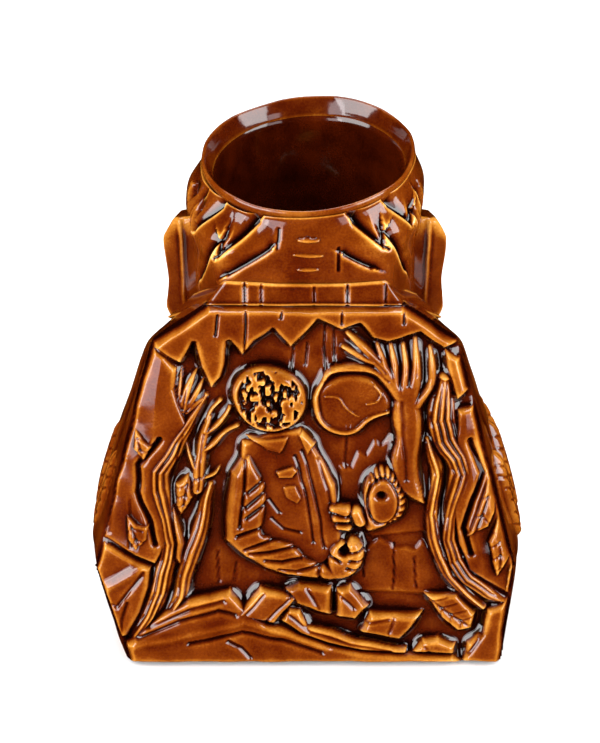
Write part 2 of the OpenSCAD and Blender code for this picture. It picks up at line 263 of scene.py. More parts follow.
def middle(path):
    """The line down the middle of a stroke."""
    return [point[:2] for point in path]


def blade(sheet, foot, tip, half_width, samples, height, edge, rib, veins, lean, vein):
    """A pointed leaf from foot to tip, with a midrib and pairs of slanting veins."""
    def spot(f):
        return foot[0] + f * (tip[0] - foot[0]), foot[1] + f * (tip[1] - foot[1])
    line = [spot(f) + (half_width * math.sin(math.pi * f) ** 0.8 + 0.2,) for f in np.linspace(0, 1, samples)]
    leaf = cut(sheet, slab(stroke(sheet, line), height, edge), [foot, tip], *rib)
    for f in veins:
        x, y = spot(f)
        leaf = cuts(sheet, leaf, *vein, *[[(x, y), (x + side * lean[0], y + lean[1])] for side in (-1, 1)])
    return leaf


def limbs(sheet, height, edge, paths):
    """Several tapering strokes joined in one raised shape."""
    return np.max([slab(stroke(sheet, path), height, edge) for path in paths], axis=0)


# ---------------------------------------------------------------- meshes

MATERIALS = {}


def make_piece(name, points, quads, tone, nodes, material, triangles=()):
    """A smooth closed mesh with the glaze tone on its points, standing for CAD nodes."""
    points, quads = np.asarray(points, float), np.asarray(quads, int)
    triangles = np.asarray(triangles, int).reshape(-1, 3)
    mesh = bpy.data.meshes.new(name)
    mesh.vertices.add(len(points))
    mesh.vertices.foreach_set("co", (points * MM).ravel())
    mesh.loops.add(quads.size + triangles.size)
    mesh.loops.foreach_set("vertex_index", np.concatenate([quads.ravel(), triangles.ravel()]))
    mesh.polygons.add(len(quads) + len(triangles))
    starts = np.concatenate([np.arange(len(quads)) * 4, quads.size + np.arange(len(triangles)) * 3])
    mesh.polygons.foreach_set("loop_start", starts)
    mesh.update(calc_edges=True)
    if signed_volume(points, quads, triangles) < 0:
        mesh.flip_normals()
    mesh.validate()
    mesh.shade_smooth()
    mesh.attributes.new("tone", "FLOAT", "POINT").data.foreach_set("value", np.clip(tone, 0, 1).ravel())
    piece = bpy.data.objects.new(name, mesh)
    bpy.context.scene.collection.objects.link(piece)
    piece.data.materials.append(MATERIALS[material])
    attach(piece, "root")
    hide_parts(*nodes)
    return piece


def signed_volume(points, quads, triangles):
    a, b, c, d = (points[quads[:, k]] for k in range(4))
    total = np.einsum("ij,ij->", a, np.cross(b, c)) + np.einsum("ij,ij->", a, np.cross(c, d))
    if len(triangles):
        a, b, c = (points[triangles[:, k]] for k in range(3))
        total += np.einsum("ij,ij->", a, np.cross(b, c))
    return total


def loft_quads(rows, columns, close_rows, close_columns=True):
    """Faces of a grid of rows by columns that may close round on itself either way."""
    r = np.arange(rows if close_rows else rows - 1)
    c = np.arange(columns if close_columns else columns - 1)
    r, c = np.meshgrid(r, c, indexing="ij")
    r2, c2 = (r + 1) % rows, (c + 1) % columns
    corners = [r * columns + c, r * columns + c2, r2 * columns + c2, r2 * columns + c]
    return np.stack(corners, -1).reshape(-1, 4)


def bulge(points, quads, rounds):
    """How far each point stands out of its smoothed neighbourhood: edges are positive."""
    pairs = np.concatenate([quads[:, [k, (k + 1) % 4]] for k in range(4)])
    pairs = np.concatenate([pairs, pairs[:, ::-1]])
    count = np.bincount(pairs[:, 0], minlength=len(points))[:, None]
    soft = points.copy()
    for _ in range(rounds):
        near = np.stack([np.bincount(pairs[:, 0], soft[pairs[:, 1], k], len(points)) for k in range(3)], 1)
        soft = 0.5 * soft + 0.5 * near / np.maximum(count, 1)
    a, b, c, d = (points[quads[:, k]] for k in range(4))
    face = np.cross(c - a, d - b)
    normal = np.stack([sum(np.bincount(quads[:, k], face[:, m], len(points)) for k in range(4))
                       for m in range(3)], 1)
    normal /= np.maximum(np.linalg.norm(normal, axis=1, keepdims=True), 1e-9)
    out = np.einsum("ij,ij->i", points - soft, normal)
    return out if signed_volume(points, quads, np.empty((0, 3), int)) > 0 else -out


def edge_tone(points, quads, level=0.46, fine=0.16, broad=0.9):
    """Glaze tone from shape: thin and light on edges, pooled and dark in hollows."""
    return (level + 0.26 * np.tanh(bulge(points, quads, 4) / fine)
            + 0.07 * np.tanh(bulge(points, quads, 24) / broad))


def sprig(name, sheet, height, tone, material="glaze", nodes=None, foot=-1.2):
    """A closed piece of clay whose upper face follows a height field on a sheet."""
    inside = height > foot * 0.8
    cell = inside[:-1, :-1] | inside[1:, :-1] | inside[:-1, 1:] | inside[1:, 1:]
    cell[[0, -1], :] = False
    cell[:, [0, -1]] = False
    for _ in range(3):
        a, b, c, d = cell[:-1, :-1], cell[1:, 1:], cell[1:, :-1], cell[:-1, 1:]
        c |= a & b & ~c & ~d
        a |= c & d & ~a & ~b
    i, j = np.nonzero(cell)
    across = len(sheet.v)
    corner = np.stack([i * across + j, (i + 1) * across + j, (i + 1) * across + j + 1, i * across + j + 1], 1)
    used = np.unique(corner)
    index = np.full(sheet.U.size, -1)
    index[used] = np.arange(len(used))
    top = index[corner]
    flat = np.maximum(height, foot * 0.9).ravel()[used][:, None]
    base, out = sheet.base.reshape(-1, 3)[used], sheet.out.reshape(-1, 3)[used]
    points = np.concatenate([base + out * flat, base + out * foot])
    points[:, 2] = np.maximum(points[:, 2], 0.05)
    edges = np.concatenate([top[:, [k, (k + 1) % 4]] for k in range(4)])
    key = edges[:, 0] * (len(used) + 1) + edges[:, 1]
    back = edges[:, 1] * (len(used) + 1) + edges[:, 0]
    rim = edges[~np.isin(key, back)]
    n = len(used)
    walls = np.stack([rim[:, 1], rim[:, 0], rim[:, 0] + n, rim[:, 1] + n], 1)
    quads = np.concatenate([top, top[:, ::-1] + n, walls])
    shade = tone.ravel()[used]
    return make_piece(name, points, quads, np.concatenate([shade, shade]), nodes or [name], material)


def field_tone(sheet, height, level=0.48):
    """Glaze tone of a whole relief: gold on its edges, near black at the foot of its walls."""
    fine = height - blur(height, 0.55 / sheet.pitch)
    middle = height - blur(height, 1.2 / sheet.pitch)
    broad = height - blur(height, 2.4 / sheet.pitch)
    return (level + 0.26 * np.tanh(fine / 0.6) + np.where(middle < 0, 0.06, 0.14) * np.tanh(middle / 1.1)
            + np.where(broad < 0, 0.28, 0.05) * np.tanh(broad / 1.6))


# ---------------------------------------------------------------- materials


GLAZE_STOPS = [(0.0, (0.0015, 0.0002, 0.0002)), (0.22, (0.009, 0.0007, 0.0002)),
               (0.42, (0.062, 0.0062, 0.0004)), (0.56, (0.135, 0.024, 0.0011)),
               (0.72, (0.31, 0.098, 0.008)), (0.88, (0.56, 0.25, 0.04)), (1.0, (0.78, 0.45, 0.13))]
CLAY_STOPS = [(0.3, (0.36, 0.25, 0.15)), (0.75, (0.66, 0.54, 0.38))]
CLOUDING, SPECKLING = 0.38, 0.20


def new_material(name):
    """A node material kept in MATERIALS: its node tree and its shader."""
    material = bpy.data.materials.new(name)
    material.use_nodes = True
    MATERIALS[name] = material
    return material.node_tree, material.node_tree.nodes["Principled BSDF"]


def add_noise(tree, place, scale, detail):
    node = tree.nodes.new("ShaderNodeTexNoise")
    node.inputs["Scale"].default_value = scale
    node.inputs["Detail"].default_value = detail
    tree.links.new(place.outputs["Object"], node.inputs["Vector"])
    return node.outputs["Fac"]


def add_scaled(tree, value, factor, onto):
    """A value times a factor, added onto another value."""
    node = tree.nodes.new("ShaderNodeMath")
    node.operation = "MULTIPLY_ADD"
    node.inputs[1].default_value = factor
    tree.links.new(value, node.inputs[0])
    tree.links.new(onto, node.inputs[2])
    return node.outputs[0]


def add_ramp(tree, shader, value, stops):
    """Colours the shader by a value, through colour stops."""
    ramp = tree.nodes.new("ShaderNodeValToRGB")
    while len(ramp.color_ramp.elements) < len(stops):
        ramp.color_ramp.elements.new(0.5)
    for element, (position, colour) in zip(ramp.color_ramp.elements, stops):
        element.position = position
        element.color = colour + (1,)
    tree.links.new(value, ramp.inputs["Fac"])
    tree.links.new(ramp.outputs["Color"], shader.inputs["Base Color"])


def add_bump(tree, shader, value, strength, distance):
    bump = tree.nodes.new("ShaderNodeBump")
    bump.inputs["Strength"].default_value = strength
    bump.inputs["Distance"].default_value = distance
    tree.links.new(value, bump.inputs["Height"])
    tree.links.new(bump.outputs["Normal"], shader.inputs["Normal"])


def glaze():
    """Transparent amber glaze over clay: near black where it pools, honey where it runs thin."""
    tree, shader = new_material("glaze")
    place, tone = tree.nodes.new("ShaderNodeTexCoord"), tree.nodes.new("ShaderNodeAttribute")
    tone.attribute_name = "tone"
    cloud = add_noise(tree, place, 95, 5)
    clouded = add_scaled(tree, cloud, CLOUDING, tone.outputs["Fac"])
    specked = add_scaled(tree, add_noise(tree, place, 1500, 3), SPECKLING, clouded)
    shift = tree.nodes.new("ShaderNodeMath")
    shift.operation = "SUBTRACT"
    shift.inputs[1].default_value = (CLOUDING + SPECKLING) / 2
    tree.links.new(specked, shift.inputs[0])
    add_ramp(tree, shader, shift.outputs[0], GLAZE_STOPS)
    add_bump(tree, shader, add_noise(tree, place, 260, 2), 0.06, 0.0006)
    rough = tree.nodes.new("ShaderNodeMapRange")
    rough.inputs["To Min"].default_value = 0.05
    rough.inputs["To Max"].default_value = 0.13
    tree.links.new(cloud, rough.inputs["Value"])
    tree.links.new(rough.outputs["Result"], shader.inputs["Roughness"])
    shader.inputs["IOR"].default_value = 1.52
    shader.inputs["Coat Weight"].default_value = 0.12
    shader.inputs["Coat Roughness"].default_value = 0.03


def bare_clay():
    """Matt buff clay of the dry foot, with grog specks and a fine tooth."""
    tree, shader = new_material("bisque")
    grain = add_noise(tree, tree.nodes.new("ShaderNodeTexCoord"), 700, 6)
    add_ramp(tree, shader, grain, CLAY_STOPS)
    add_bump(tree, shader, grain, 0.3, 0.0003)
    shader.inputs["Roughness"].default_value = 0.85


glaze()
bare_clay()

# ---------------------------------------------------------------- the relief scene's outlines


def panel_surface(u, v):
    base = PANEL_FOOT + u[..., None] * (1, 0, 0) + v[..., None] * PANEL_UP
    return base, np.broadcast_to(PANEL_N, base.shape)


relief = Sheet((-84, 84), (-3, 137), pitch(0.4, 0.7), panel_surface)
S = relief

TREE_LEFT = [(-33.5, 99.5, 1.5), (-39.5, 90, 3), (-45, 81.5, 4), (-50.5, 73, 4.5), (-50.5, 66, 4.5),
             (-48.5, 56, 3.5), (-46.5, 46, 3.5), (-50, 28, 4), (-54, 19, 3.5), (-59, 11, 2.5), (-62, 7.5, 1)]
FORK_LEFT = [(-32.5, 67.5, 1.5), (-36, 52, 3), (-39, 43, 3.5), (-41.5, 34, 3), (-43, 26, 3), (-47, 19, 2.5)]
TREE_RIGHT = [(47, 106, 3), (46, 92, 5.5), (48, 84.5, 5.5), (52, 78, 5), (54, 71.5, 4.5), (50, 56, 3.5),
              (49.5, 48, 4), (51.5, 40, 4.5), (56.5, 33, 4.5), (63.5, 27.5, 4), (70, 24, 2)]
BRANCH_RIGHT = [(41.5, 84, 1.5), (43.5, 78, 2.5), (45.5, 71, 2.5), (43, 57.5, 2.5), (44.5, 49.5, 3),
                (46.5, 41.5, 3), (50.5, 34, 3), (56, 27.5, 3), (61.5, 22.5, 2)]
FRINGE_TEETH = [(-52, 117.5), (-46.5, 114), (-41.5, 111), (-37.5, 119), (-35.5, 110), (-31.5, 102),
                (-28, 106), (-25.5, 119.5), (-21, 114), (-17, 119), (-10.5, 123.5), (-5, 116.5),
                (4.5, 127), (12.5, 123), (18, 125.5), (22.5, 120.5), (28, 119), (38.5, 122),
                (43, 119), (46.5, 116.5)]

PANEL_OUTLINE = [(-59, -10), (-73, 36.5), (-52, 119.5), (-33, PANEL_TOP), (33, PANEL_TOP), (52, 119.5),
                 (73, 36.5), (68, -10)]
SHOULDER = slab(area(S, PANEL_OUTLINE) - 0.7, 6.6, 3.4)
SHOULDER = np.minimum(SHOULDER, 1.2 + 1.8 * np.maximum(S.V, 0))

heights = {}


def frame_left():
    outline = [(-51.5, 118.5), (-58.5, 97), (-73.5, 48.5), (-51.5, 37.5), (-46, 48), (-50, 64),
               (-45, 80), (-39, 90), (-43.5, 103), (-42.5, 110), (-46.5, 115)]
    field = slab(area(S, outline), 4.7, 1.5) + S.top
    field = field - 0.30 * np.clip(-S.X - 50 - 0.13 * (100 - S.T), 0, 12)
    field = cut(S, field, [(-66, 66), (-68, 50)], 0.7, 0.6)
    field = cut(S, field, [(-60, 62), (-60.5, 45)], 0.6, 0.5)
    return cut(S, field, beside(TREE_LEFT, -1.45)[2:7], 0.9, 3.2)


def frame_right():
    outline = [(46.5, 117), (53, 113.5), (57.5, 106.5), (57, 102.5), (51, 97.5), (50, 60), (52, 46),
               (56, 36), (66, 29), (72, 25), (76, 40), (72.5, 58), (66, 87), (61.5, 97.5),
               (55, 96), (51.5, 95.5), (48, 108)]
    field = slab(area(S, outline), 4.7, 1.5) + S.top
    field = field - 0.28 * np.clip(S.X - 53 - 0.13 * (100 - S.T), 0, 12)
    field = cut(S, field, [(60, 96), (65, 78), (68, 60)], 0.8, 0.7)
    block = [(72.5, 26), (71.5, 12), (69.5, 1), (55, 1), (56, 9), (60.5, 13), (63, 22)]
    field = np.maximum(field, slab(area(S, block), 5.2, 1.6) + S.top)
    field = cut(S, field, [(57, 5), (61, 12), (62.5, 20)], 0.8, 1.2)
    return cut(S, field, [(56.5, 84), (60.5, 72), (57, 62), (54.5, 52), (57, 43)], 0.9, 3.2)


def cave_fringe():
    roof = [(52.5, 119.5), (33.5, PANEL_TOP), (-33.5, PANEL_TOP), (-52.5, 119.5)]
    field = slab(area(S, FRINGE_TEETH + roof), 4.8, 1.6) + S.top
    return cuts(S, field, 0.45, 1.3, [(-20, 132), (-20.5, 116)], [(-29.5, 129), (-30, 122)],
                [(12.5, 132), (12.5, 126)], [(33, 131), (33, 126)], [(-8, 132), (-8, 128)])


def tree_left():
    field = slab(stroke(S, TREE_LEFT), 6.0, 2.6)
    web = [(-46.5, 66), (-44, 58), (-40.5, 46), (-42, 36), (-46, 40)]
    field = np.maximum(field, slab(area(S, web), 4.4, 2.2))
    field = cuts(S, field, 0.62, 1.5, *[beside(TREE_LEFT, share) for share in (-0.42, 0.08, 0.55)])
    return cut(S, field, [(-41, 86), (-43.5, 79), (-45.5, 70), (-44.5, 60)], 0.5, 1.0) + S.grain * 0.10


def tree_left_fork():
    field = slab(stroke(S, FORK_LEFT), 5.4, 2.6)
    field = cuts(S, field, 0.6, 1.2, *[beside(FORK_LEFT, share) for share in (-0.35, 0.35)])
    return field + S.grain * 0.10


def dead_tree():
    field = limbs(S, 4.2, 1.7, [
        [(-37, 66, 2.5), (-36.5, 74, 2.5), (-35, 80, 2), (-33.5, 88, 2), (-32, 92, 1)],
        [(-33.5, 86, 1.5), (-29.5, 89, 1.5), (-26.5, 93, 1), (-25.5, 95.5, 1)],
        [(-34.5, 80.5, 1.5), (-30.5, 82.5, 1.5), (-27, 87, 1), (-23, 89, 1)],
        [(-33.5, 90, 1), (-31.5, 95, 1), (-28.5, 98, 1)],
        [(-37, 72, 1.5), (-39.5, 78, 1), (-40, 83, 0.5)],
        [(-35.5, 70, 1), (-31, 71.5, 1), (-29.5, 74, 0.5)]])
    field = cuts(S, field, 0.5, 0.9, [(-36.5, 66), (-36, 76), (-34, 86)], [(-38, 70), (-36, 70.5)])
    return field + S.grain * 0.1


def fronds_left():
    blades = [[(-41.5, 95, 2), (-43, 101, 1.5), (-41.5, 109.5, 0.5)],
              [(-41, 95, 2), (-40, 102, 2), (-36.5, 109, 0.5)],
              [(-40, 94.5, 1.5), (-37, 100, 1.5), (-34, 106, 0.5)],
              [(-40, 94, 1.5), (-36.5, 97, 1.5), (-33.5, 99.5, 0.5)]]
    return cuts(S, limbs(S, 4.4, 1.4, blades), 0.45, 0.9, *[middle(blade) for blade in blades])


def veined(outline, height, rib, veins=4, lean=0.7):
    """A leaf with a midrib and slanting veins, over its outline."""
    field = slab(area(S, outline), height, 1.6)
    (ax, ay), (bx, by) = rib
    length = math.hypot(bx - ax, by - ay)
    ux, uy = (bx - ax) / length, (by - ay) / length
    field = cut(S, field, rib, 0.55, 0.9)
    for k in range(1, veins + 1):
        px, py = ax + (bx - ax) * k / (veins + 1), ay + (by - ay) * k / (veins + 1)
        for side in (-1, 1):
            reach_out = length * 0.22
            tip = (px + reach_out * (ux * lean - side * uy), py + reach_out * (uy * lean + side * ux))
            field = cut(S, field, [(px, py), tip], 0.4, 0.45)
    return field


def leaves_left():
    upper = [(-58.5, 90.5), (-51.5, 82.5), (-54.5, 75), (-59, 81)]
    inner = [(-39.5, 73), (-45, 68), (-45, 60), (-42.5, 55.5), (-38, 63)]
    lower = [(-62, 58.5), (-57.5, 55), (-53, 54), (-53.5, 48), (-58.5, 42.5), (-62, 48)]
    return np.max([veined(upper, 6.0, [(-58, 90), (-55, 77)], 2),
                   veined(inner, 4.4, [(-40, 72), (-42.5, 57)], 3),
                   veined(lower, 6.0, [(-61, 57), (-57, 44)], 2)], axis=0)


def rock_left():
    outline = [(-73.5, 48.5), (-63, 43.5), (-52.5, 37.5), (-53.5, 30), (-56.5, 20), (-61.5, 10.5),
               (-64.5, 9), (-70.5, 21.5), (-76, 42)]
    field = slab(area(S, outline), 5.2, 1.8)
    ridge = line_distance(S, [(-68, 30), (-56, 37.5)])
    field = field + 1.3 * np.exp(-(ridge / 1.8) ** 2) - 0.8 * step(-S.T, -30, -14)
    field = field - 0.22 * np.clip(-S.X - 60, 0, 14)
    field = cut(S, field, [(-70.5, 24), (-65, 22.5), (-62.5, 26), (-56, 36)], 0.8, 0.9)
    field = cut(S, field, [(-64.5, 10), (-63.5, 17), (-61.5, 24)], 0.7, 0.9)
    return field - 1.6 * np.exp(-((S.X + 69) ** 2 + (S.T - 22) ** 2) / 1.4)


def figure_head():
    """A bowed head seen from behind: a tilted oval of hair, with pits between its strands."""
    tilt = math.radians(-25)
    length = (S.X + 12) * math.cos(tilt) + (S.T - 99) * math.sin(tilt)
    breadth = (S.T - 99) * math.cos(tilt) - (S.X + 12) * math.sin(tilt)
    depth = 12 * (1 - np.hypot(length / 13.5, breadth / 12))
    spot = np.stack([S.X * 1.15, S.T * 0.85, 0 * S.X], -1)
    curl = noise(spot, 1.55, 2.2) + 0.3 * noise(spot, 1.0, 6.1)
    field = slab(depth, 6.4, 3.2) - step(depth, 1.4, 2.8) * 3.0 * step(curl, -0.10, 0.16)
    return field + 0.7 * np.exp(-(depth - 1.2) ** 2) * step(depth, 0, 0.8)


def figure_collar():
    left = area(S, [(-21, 86), (-4, 87), (-8, 78), (-13.5, 80)])
    right = area(S, [(-3.5, 87), (-0.5, 88), (4.5, 83), (0.5, 77.5)])
    field = slab(np.maximum(left, right), 5.4, 1.5)
    return cut(S, field, [(-18, 84), (-9, 80)], 0.8, 0.6)


def figure_jacket():
    outline = [(-22, 84), (-12, 88), (-1, 88.5), (3.5, 83), (7, 76), (10.5, 68), (13, 52), (13, 43),
               (6, 38), (-4, 38), (-20, 46), (-24, 60), (-23, 74)]
    field = slab(area(S, outline), 4.2, 1.5)
    return cuts(S, field, 0.6, 0.8, [(-1, 81), (2.5, 69.5), (5, 55.5), (7, 45)],
                [(-3.5, 79), (0, 67), (1.5, 55), (3, 47)], [(4.5, 78), (8, 66), (9, 58)],
                [(-11, 56), (-7, 52), (-2, 50.5)], [(-12, 63), (-8.5, 58)])


def figure_sleeve():
    outline = [(-18.5, 81.5), (-21.5, 79.5), (-26, 73), (-28, 55), (-28, 47), (-21, 40.5), (-14, 36),
               (-6.5, 33.5), (8.5, 32), (13.5, 32.5), (13, 38), (1.5, 43), (-3, 47.5), (-13, 51.5),
               (-11.5, 63), (-12.5, 69.5)]
    field = slab(area(S, outline), 6.4, 2.8)
    field = cuts(S, field, 0.75, 1.5, [(-20.5, 77), (-21, 66), (-22, 53)], [(-13.5, 71), (-19.5, 66)],
                 [(-13, 67), (-20, 60.5)], [(-12.5, 62.5), (-19.5, 56.5)], [(-14, 53), (-23, 49.5)],
                 [(-9.5, 49), (-20.5, 44.5)], [(-3, 45.5), (-13, 43.5), (-19, 43)],
                 [(-1, 41.5), (-8, 40), (-14, 40.5)], [(4, 39), (-3, 36.5), (-9, 37)])
    return cut(S, field, [(5.5, 41), (4.5, 36), (5.5, 32)], 0.8, 1.6)


def figure_pocket():
    flap = area(S, [(-11, 73.5), (-4, 76), (-1.5, 73.5), (-4, 70), (-9.5, 70)])
    pouch = area(S, [(-9, 68.5), (-2.5, 69), (-0.5, 63.5), (-2.5, 60), (-7, 63)])
    return np.maximum(slab(flap, 5.6, 1.1), slab(pouch, 4.9, 1.1))


def figure_hands():
    upper = limbs(S, 6.6, 2.0, [[(9.5, 59.5, 2.5), (14, 58.5, 3)], [(10.5, 56, 2.5), (15, 55.5, 2)],
                                [(11.5, 53, 2), (15, 52.5, 2)], [(17.5, 58, 3), (19, 55, 3)]])
    palm = [(7, 44), (9, 47.5), (12.5, 49), (14, 47.5), (16, 49.5), (19.5, 48.5), (21.5, 44.5), (21, 39.5),
            (19, 35.5), (14.5, 32.5), (8.5, 32.5), (6.5, 37)]
    lower = slab(area(S, rounded(palm, True)), 6.6, 2.4)
    lower = lower - 4.5 * np.exp(-(((S.X - 13.5) / 2) ** 2 + ((S.T - 44) / 2) ** 2) ** 2)
    lower = cuts(S, lower, 0.55, 1.9, [(14.5, 49), (14, 45)], [(15.5, 43), (20.5, 44.5)],
                 [(15.5, 40.5), (21, 40)], [(14.5, 38), (18.5, 36.5)], [(8, 43), (12, 40.5)])
    return np.maximum(upper, lower)


def figure_legs():
    thigh = slab(area(S, [(-8, 29), (-2, 31.5), (9.5, 30.5), (9.5, 18.5), (4, 20), (-3, 23)]), 4.8, 2.0)
    knee = slab(area(S, [(10.5, 29.5), (16, 31.5), (23, 22.5), (18, 17), (10.5, 18)]), 5.2, 2.0)
    field = cut(S, np.maximum(thigh, knee), [(12, 27.5), (17, 22)], 0.7, 1.0)
    return cut(S, field, [(1, 29), (5, 22)], 0.7, 0.8)


def figure_boot():
    outline = [(22.5, 21), (30, 20.5), (41.5, 20.5), (37.5, 14.5), (33, 9.5), (19, 12.5), (20.5, 17)]
    field = slab(area(S, outline), 5.4, 1.9)
    return cut(S, cut(S, field, [(22, 17), (29, 18)], 0.7, 0.8), [(31, 18.5), (29, 13)], 0.6, 0.6)


def held_gourd():
    """A plain gourd with a ring of ribs round a smooth, hollowed middle."""
    outline = [(19, 64.5), (20, 70), (24, 74.5), (27.5, 75.5), (31, 74), (34.5, 69), (35.5, 62.5),
               (34.5, 56.5), (30.5, 53), (22, 49.5), (20, 52)]
    field = slab(area(S, rounded(outline, True)), 6.4, 2.8)
    for k in range(13):
        a = math.radians(-80 + 17 * k)
        rib = [(27.5 + r * math.cos(a), 62.5 + 1.55 * r * math.sin(a)) for r in (5.5, 8.5)]
        field = cut(S, field, rib, 0.55, 1.7)
    ring = np.abs(np.hypot((S.X - 26.5) * 1.5, S.T - 62.5) - 8)
    field = field - 1.5 * np.exp(-(ring / 0.65) ** 2)
    field = cut(S, field, [(22.5, 70.5), (21.5, 64), (22.5, 57.5)], 0.6, 0.9)
    return field - 4.0 * np.exp(-((S.X - 26) ** 2 + ((S.T - 65) * 1.2) ** 2) / 2.6)


def back_tree():
    trunk = [(35, 101, 4.5), (34.5, 93, 5.5), (35.5, 85, 4.5), (34, 78, 5), (34.5, 70, 5), (38, 64, 3),
             (40.5, 61, 1)]
    twigs = [[(33, 99, 3), (28.5, 105.5, 2.5), (23, 109.5, 2), (16, 110, 2), (8, 109, 1.5), (5.5, 104.5, 1)],
             [(32, 101, 3), (27.5, 108.5, 3), (22.5, 114.5, 2.5), (18.5, 118.5, 2), (14.5, 122, 1)],
             [(24, 112.5, 2.5), (18.5, 114, 2), (13, 117, 1)],
             [(28, 107, 2.5), (26, 113, 2), (24.5, 118.5, 1)],
             [(31, 104, 2.5), (30, 111, 2), (29, 118, 1)], [(34, 101, 3), (34, 109, 2), (33, 118, 1)],
             [(36.5, 99, 3), (37.5, 108, 2.5), (37, 120, 1)],
             [(38, 97, 2.5), (42.5, 104, 2), (43, 110, 2), (42, 117, 1)]]
    field = limbs(S, 4.8, 2.0, [trunk] + twigs)
    field = cut(S, field, [(33, 98), (33, 88), (34.5, 78), (35, 70)], 0.8, 0.7)
    return cuts(S, field, 0.4, 0.5, *[middle(twig)[1:] for twig in twigs]) + S.grain * 0.06


def vine_knot():
    bulb = [(3, 101.5), (4, 95), (5.5, 89.5), (11, 85.5), (17.5, 86.5), (23, 91.5), (29, 93), (30.5, 97.5),
            (27.5, 103), (22, 107), (14, 108), (7, 105)]
    edge = [(5.5, 104.5, 1), (3, 99.5, 1.5), (5, 90.5, 1.5), (11, 86.5, 1.5), (17.5, 87.5, 1.5),
            (22.5, 92.5, 1.5), (28.5, 94, 1)]
    curl = [(6.5, 99.5, 1), (11.5, 99.5, 1), (13.5, 95.5, 1), (17.5, 92.5, 1), (21, 92, 0.5)]
    loop = [(20.5, 97, 1), (24.5, 97.5, 1), (26.5, 100.5, 1), (23.5, 103.5, 1)]
    return np.maximum(slab(area(S, rounded(bulb, True)), 2.6, 1.8), limbs(S, 4.0, 1.3, [edge, curl, loop]))


def tree_right():
    field = slab(stroke(S, TREE_RIGHT), 6.2, 2.8)
    field = cuts(S, field, 0.68, 1.7, *[beside(TREE_RIGHT, share) for share in (-0.62, -0.22, 0.2, 0.6)])
    return field + S.grain * 0.12


def tree_right_branch():
    field = slab(stroke(S, BRANCH_RIGHT), 5.6, 2.4)
    field = cuts(S, field, 0.55, 1.2, *[beside(BRANCH_RIGHT, share) for share in (-0.35, 0.35)])
    return field + S.grain * 0.1


def leaves_right():
    blade = [(63, 73.5), (65.5, 71), (65.5, 58), (63.5, 52.5), (54.5, 47.5), (59, 63)]
    broad = [(66.5, 58.5), (70, 53), (72, 44.5), (66.5, 32), (63.5, 39.5), (62.5, 47.5)]
    outer = [(72.5, 52), (75, 44), (73, 30), (69.5, 26.5), (70, 36), (72.5, 43)]
    return np.max([veined(blade, 6.2, [(64, 71), (58.5, 51)], 2),
                   veined(broad, 6.4, [(67, 57), (67, 33)], 4), slab(area(S, outer), 5.6, 1.4)], axis=0)


def leaf_low():
    outline = [(40, 28), (53, 28), (59.5, 20), (58, 13.5), (53, 12.5), (47.5, 17.5)]
    return veined(outline, 4.8, [(41, 27), (57, 15)], 4)


def rock_low():
    field = slab(area(S, [(36.5, 4.5), (41, 10), (46.5, 11), (53, 8.5), (52.5, 4)]), 5.4, 1.7)
    return cut(S, field, [(41, 9), (44, 5)], 0.6, 0.6)


def root_log():
    ground = [(-63, 0.5), (-63, 8.5), (-57, 15), (-48.5, 21.5), (-41, 26), (-33, 27), (-25.5, 29),
              (-21, 24), (-13, 17.5), (-4, 14), (8.5, 9), (20, 6.5), (52, 4.5), (56, 0.5)]
    field = slab(area(S, ground), 5.6, 2.0)
    crest = line_distance(S, [(-60, 8), (-40, 12.5), (-21, 17.5), (-9, 14), (8, 8)]) * step(S.T, 0, 1)
    field = field + 0.9 * np.exp(-(crest / 1.5) ** 2)
    field = cuts(S, field, 0.8, 1.1, [(-58, 11), (-44, 17.5), (-30, 21.5), (-24, 20)],
                 [(-54, 15), (-40, 22), (-28, 25)], [(-40, 9), (-22, 13.5), (-8, 10.5), (6, 5.5)],
                 [(-26.5, 10), (-22.5, 7.5), (-19, 3.5)])
    return field + S.top * 0.6


def log_slab():
    field = slab(area(S, [(-15.5, 30.5), (-0.5, 27), (-10.5, 15.5), (-25, 19)]), 6.6, 1.8)
    return cuts(S, field - 0.07 * (S.X + 25), 0.6, 0.8, [(-14, 28), (-21, 19.5)], [(-4.5, 27), (-14.5, 17)])


def ground_strip():
    outline = [(-9, 17), (-5.5, 23), (-1, 21.5), (1.5, 16), (10, 13.5), (18, 10.5), (36, 7), (36, 4),
               (20, 5.5), (8, 8), (-2, 12)]
    field = slab(area(S, outline), 5.2, 1.5)
    return cut(S, field, [(-5, 19.5), (2, 13.5), (16, 8.5), (30, 6)], 0.7, 1.0)


RELIEF = {
    cave_fringe: "glaze_honey", frame_left: "glaze_amber", frame_right: "glaze_amber",
    tree_left: "glaze_honey", tree_left_fork: "glaze_honey", dead_tree: "glaze_honey",
    fronds_left: "glaze_honey", leaves_left: "glaze_amber", rock_left: "glaze_amber",
    figure_head: "glaze_umber", figure_collar: "glaze_honey", figure_jacket: "glaze_amber",
    figure_sleeve: "glaze_honey", figure_pocket: "glaze_honey", figure_hands: "glaze_honey",
    figure_legs: "glaze_amber", figure_boot: "glaze_honey", held_gourd: "glaze_umber",
    back_tree: "glaze_honey", vine_knot: "glaze_honey", tree_right: "glaze_honey",
    tree_right_branch: "glaze_honey", leaves_right: "glaze_amber", leaf_low: "glaze_honey",
    rock_low: "glaze_amber", root_log: "glaze_honey", log_slab: "glaze_amber",
    ground_strip: "glaze_amber"}


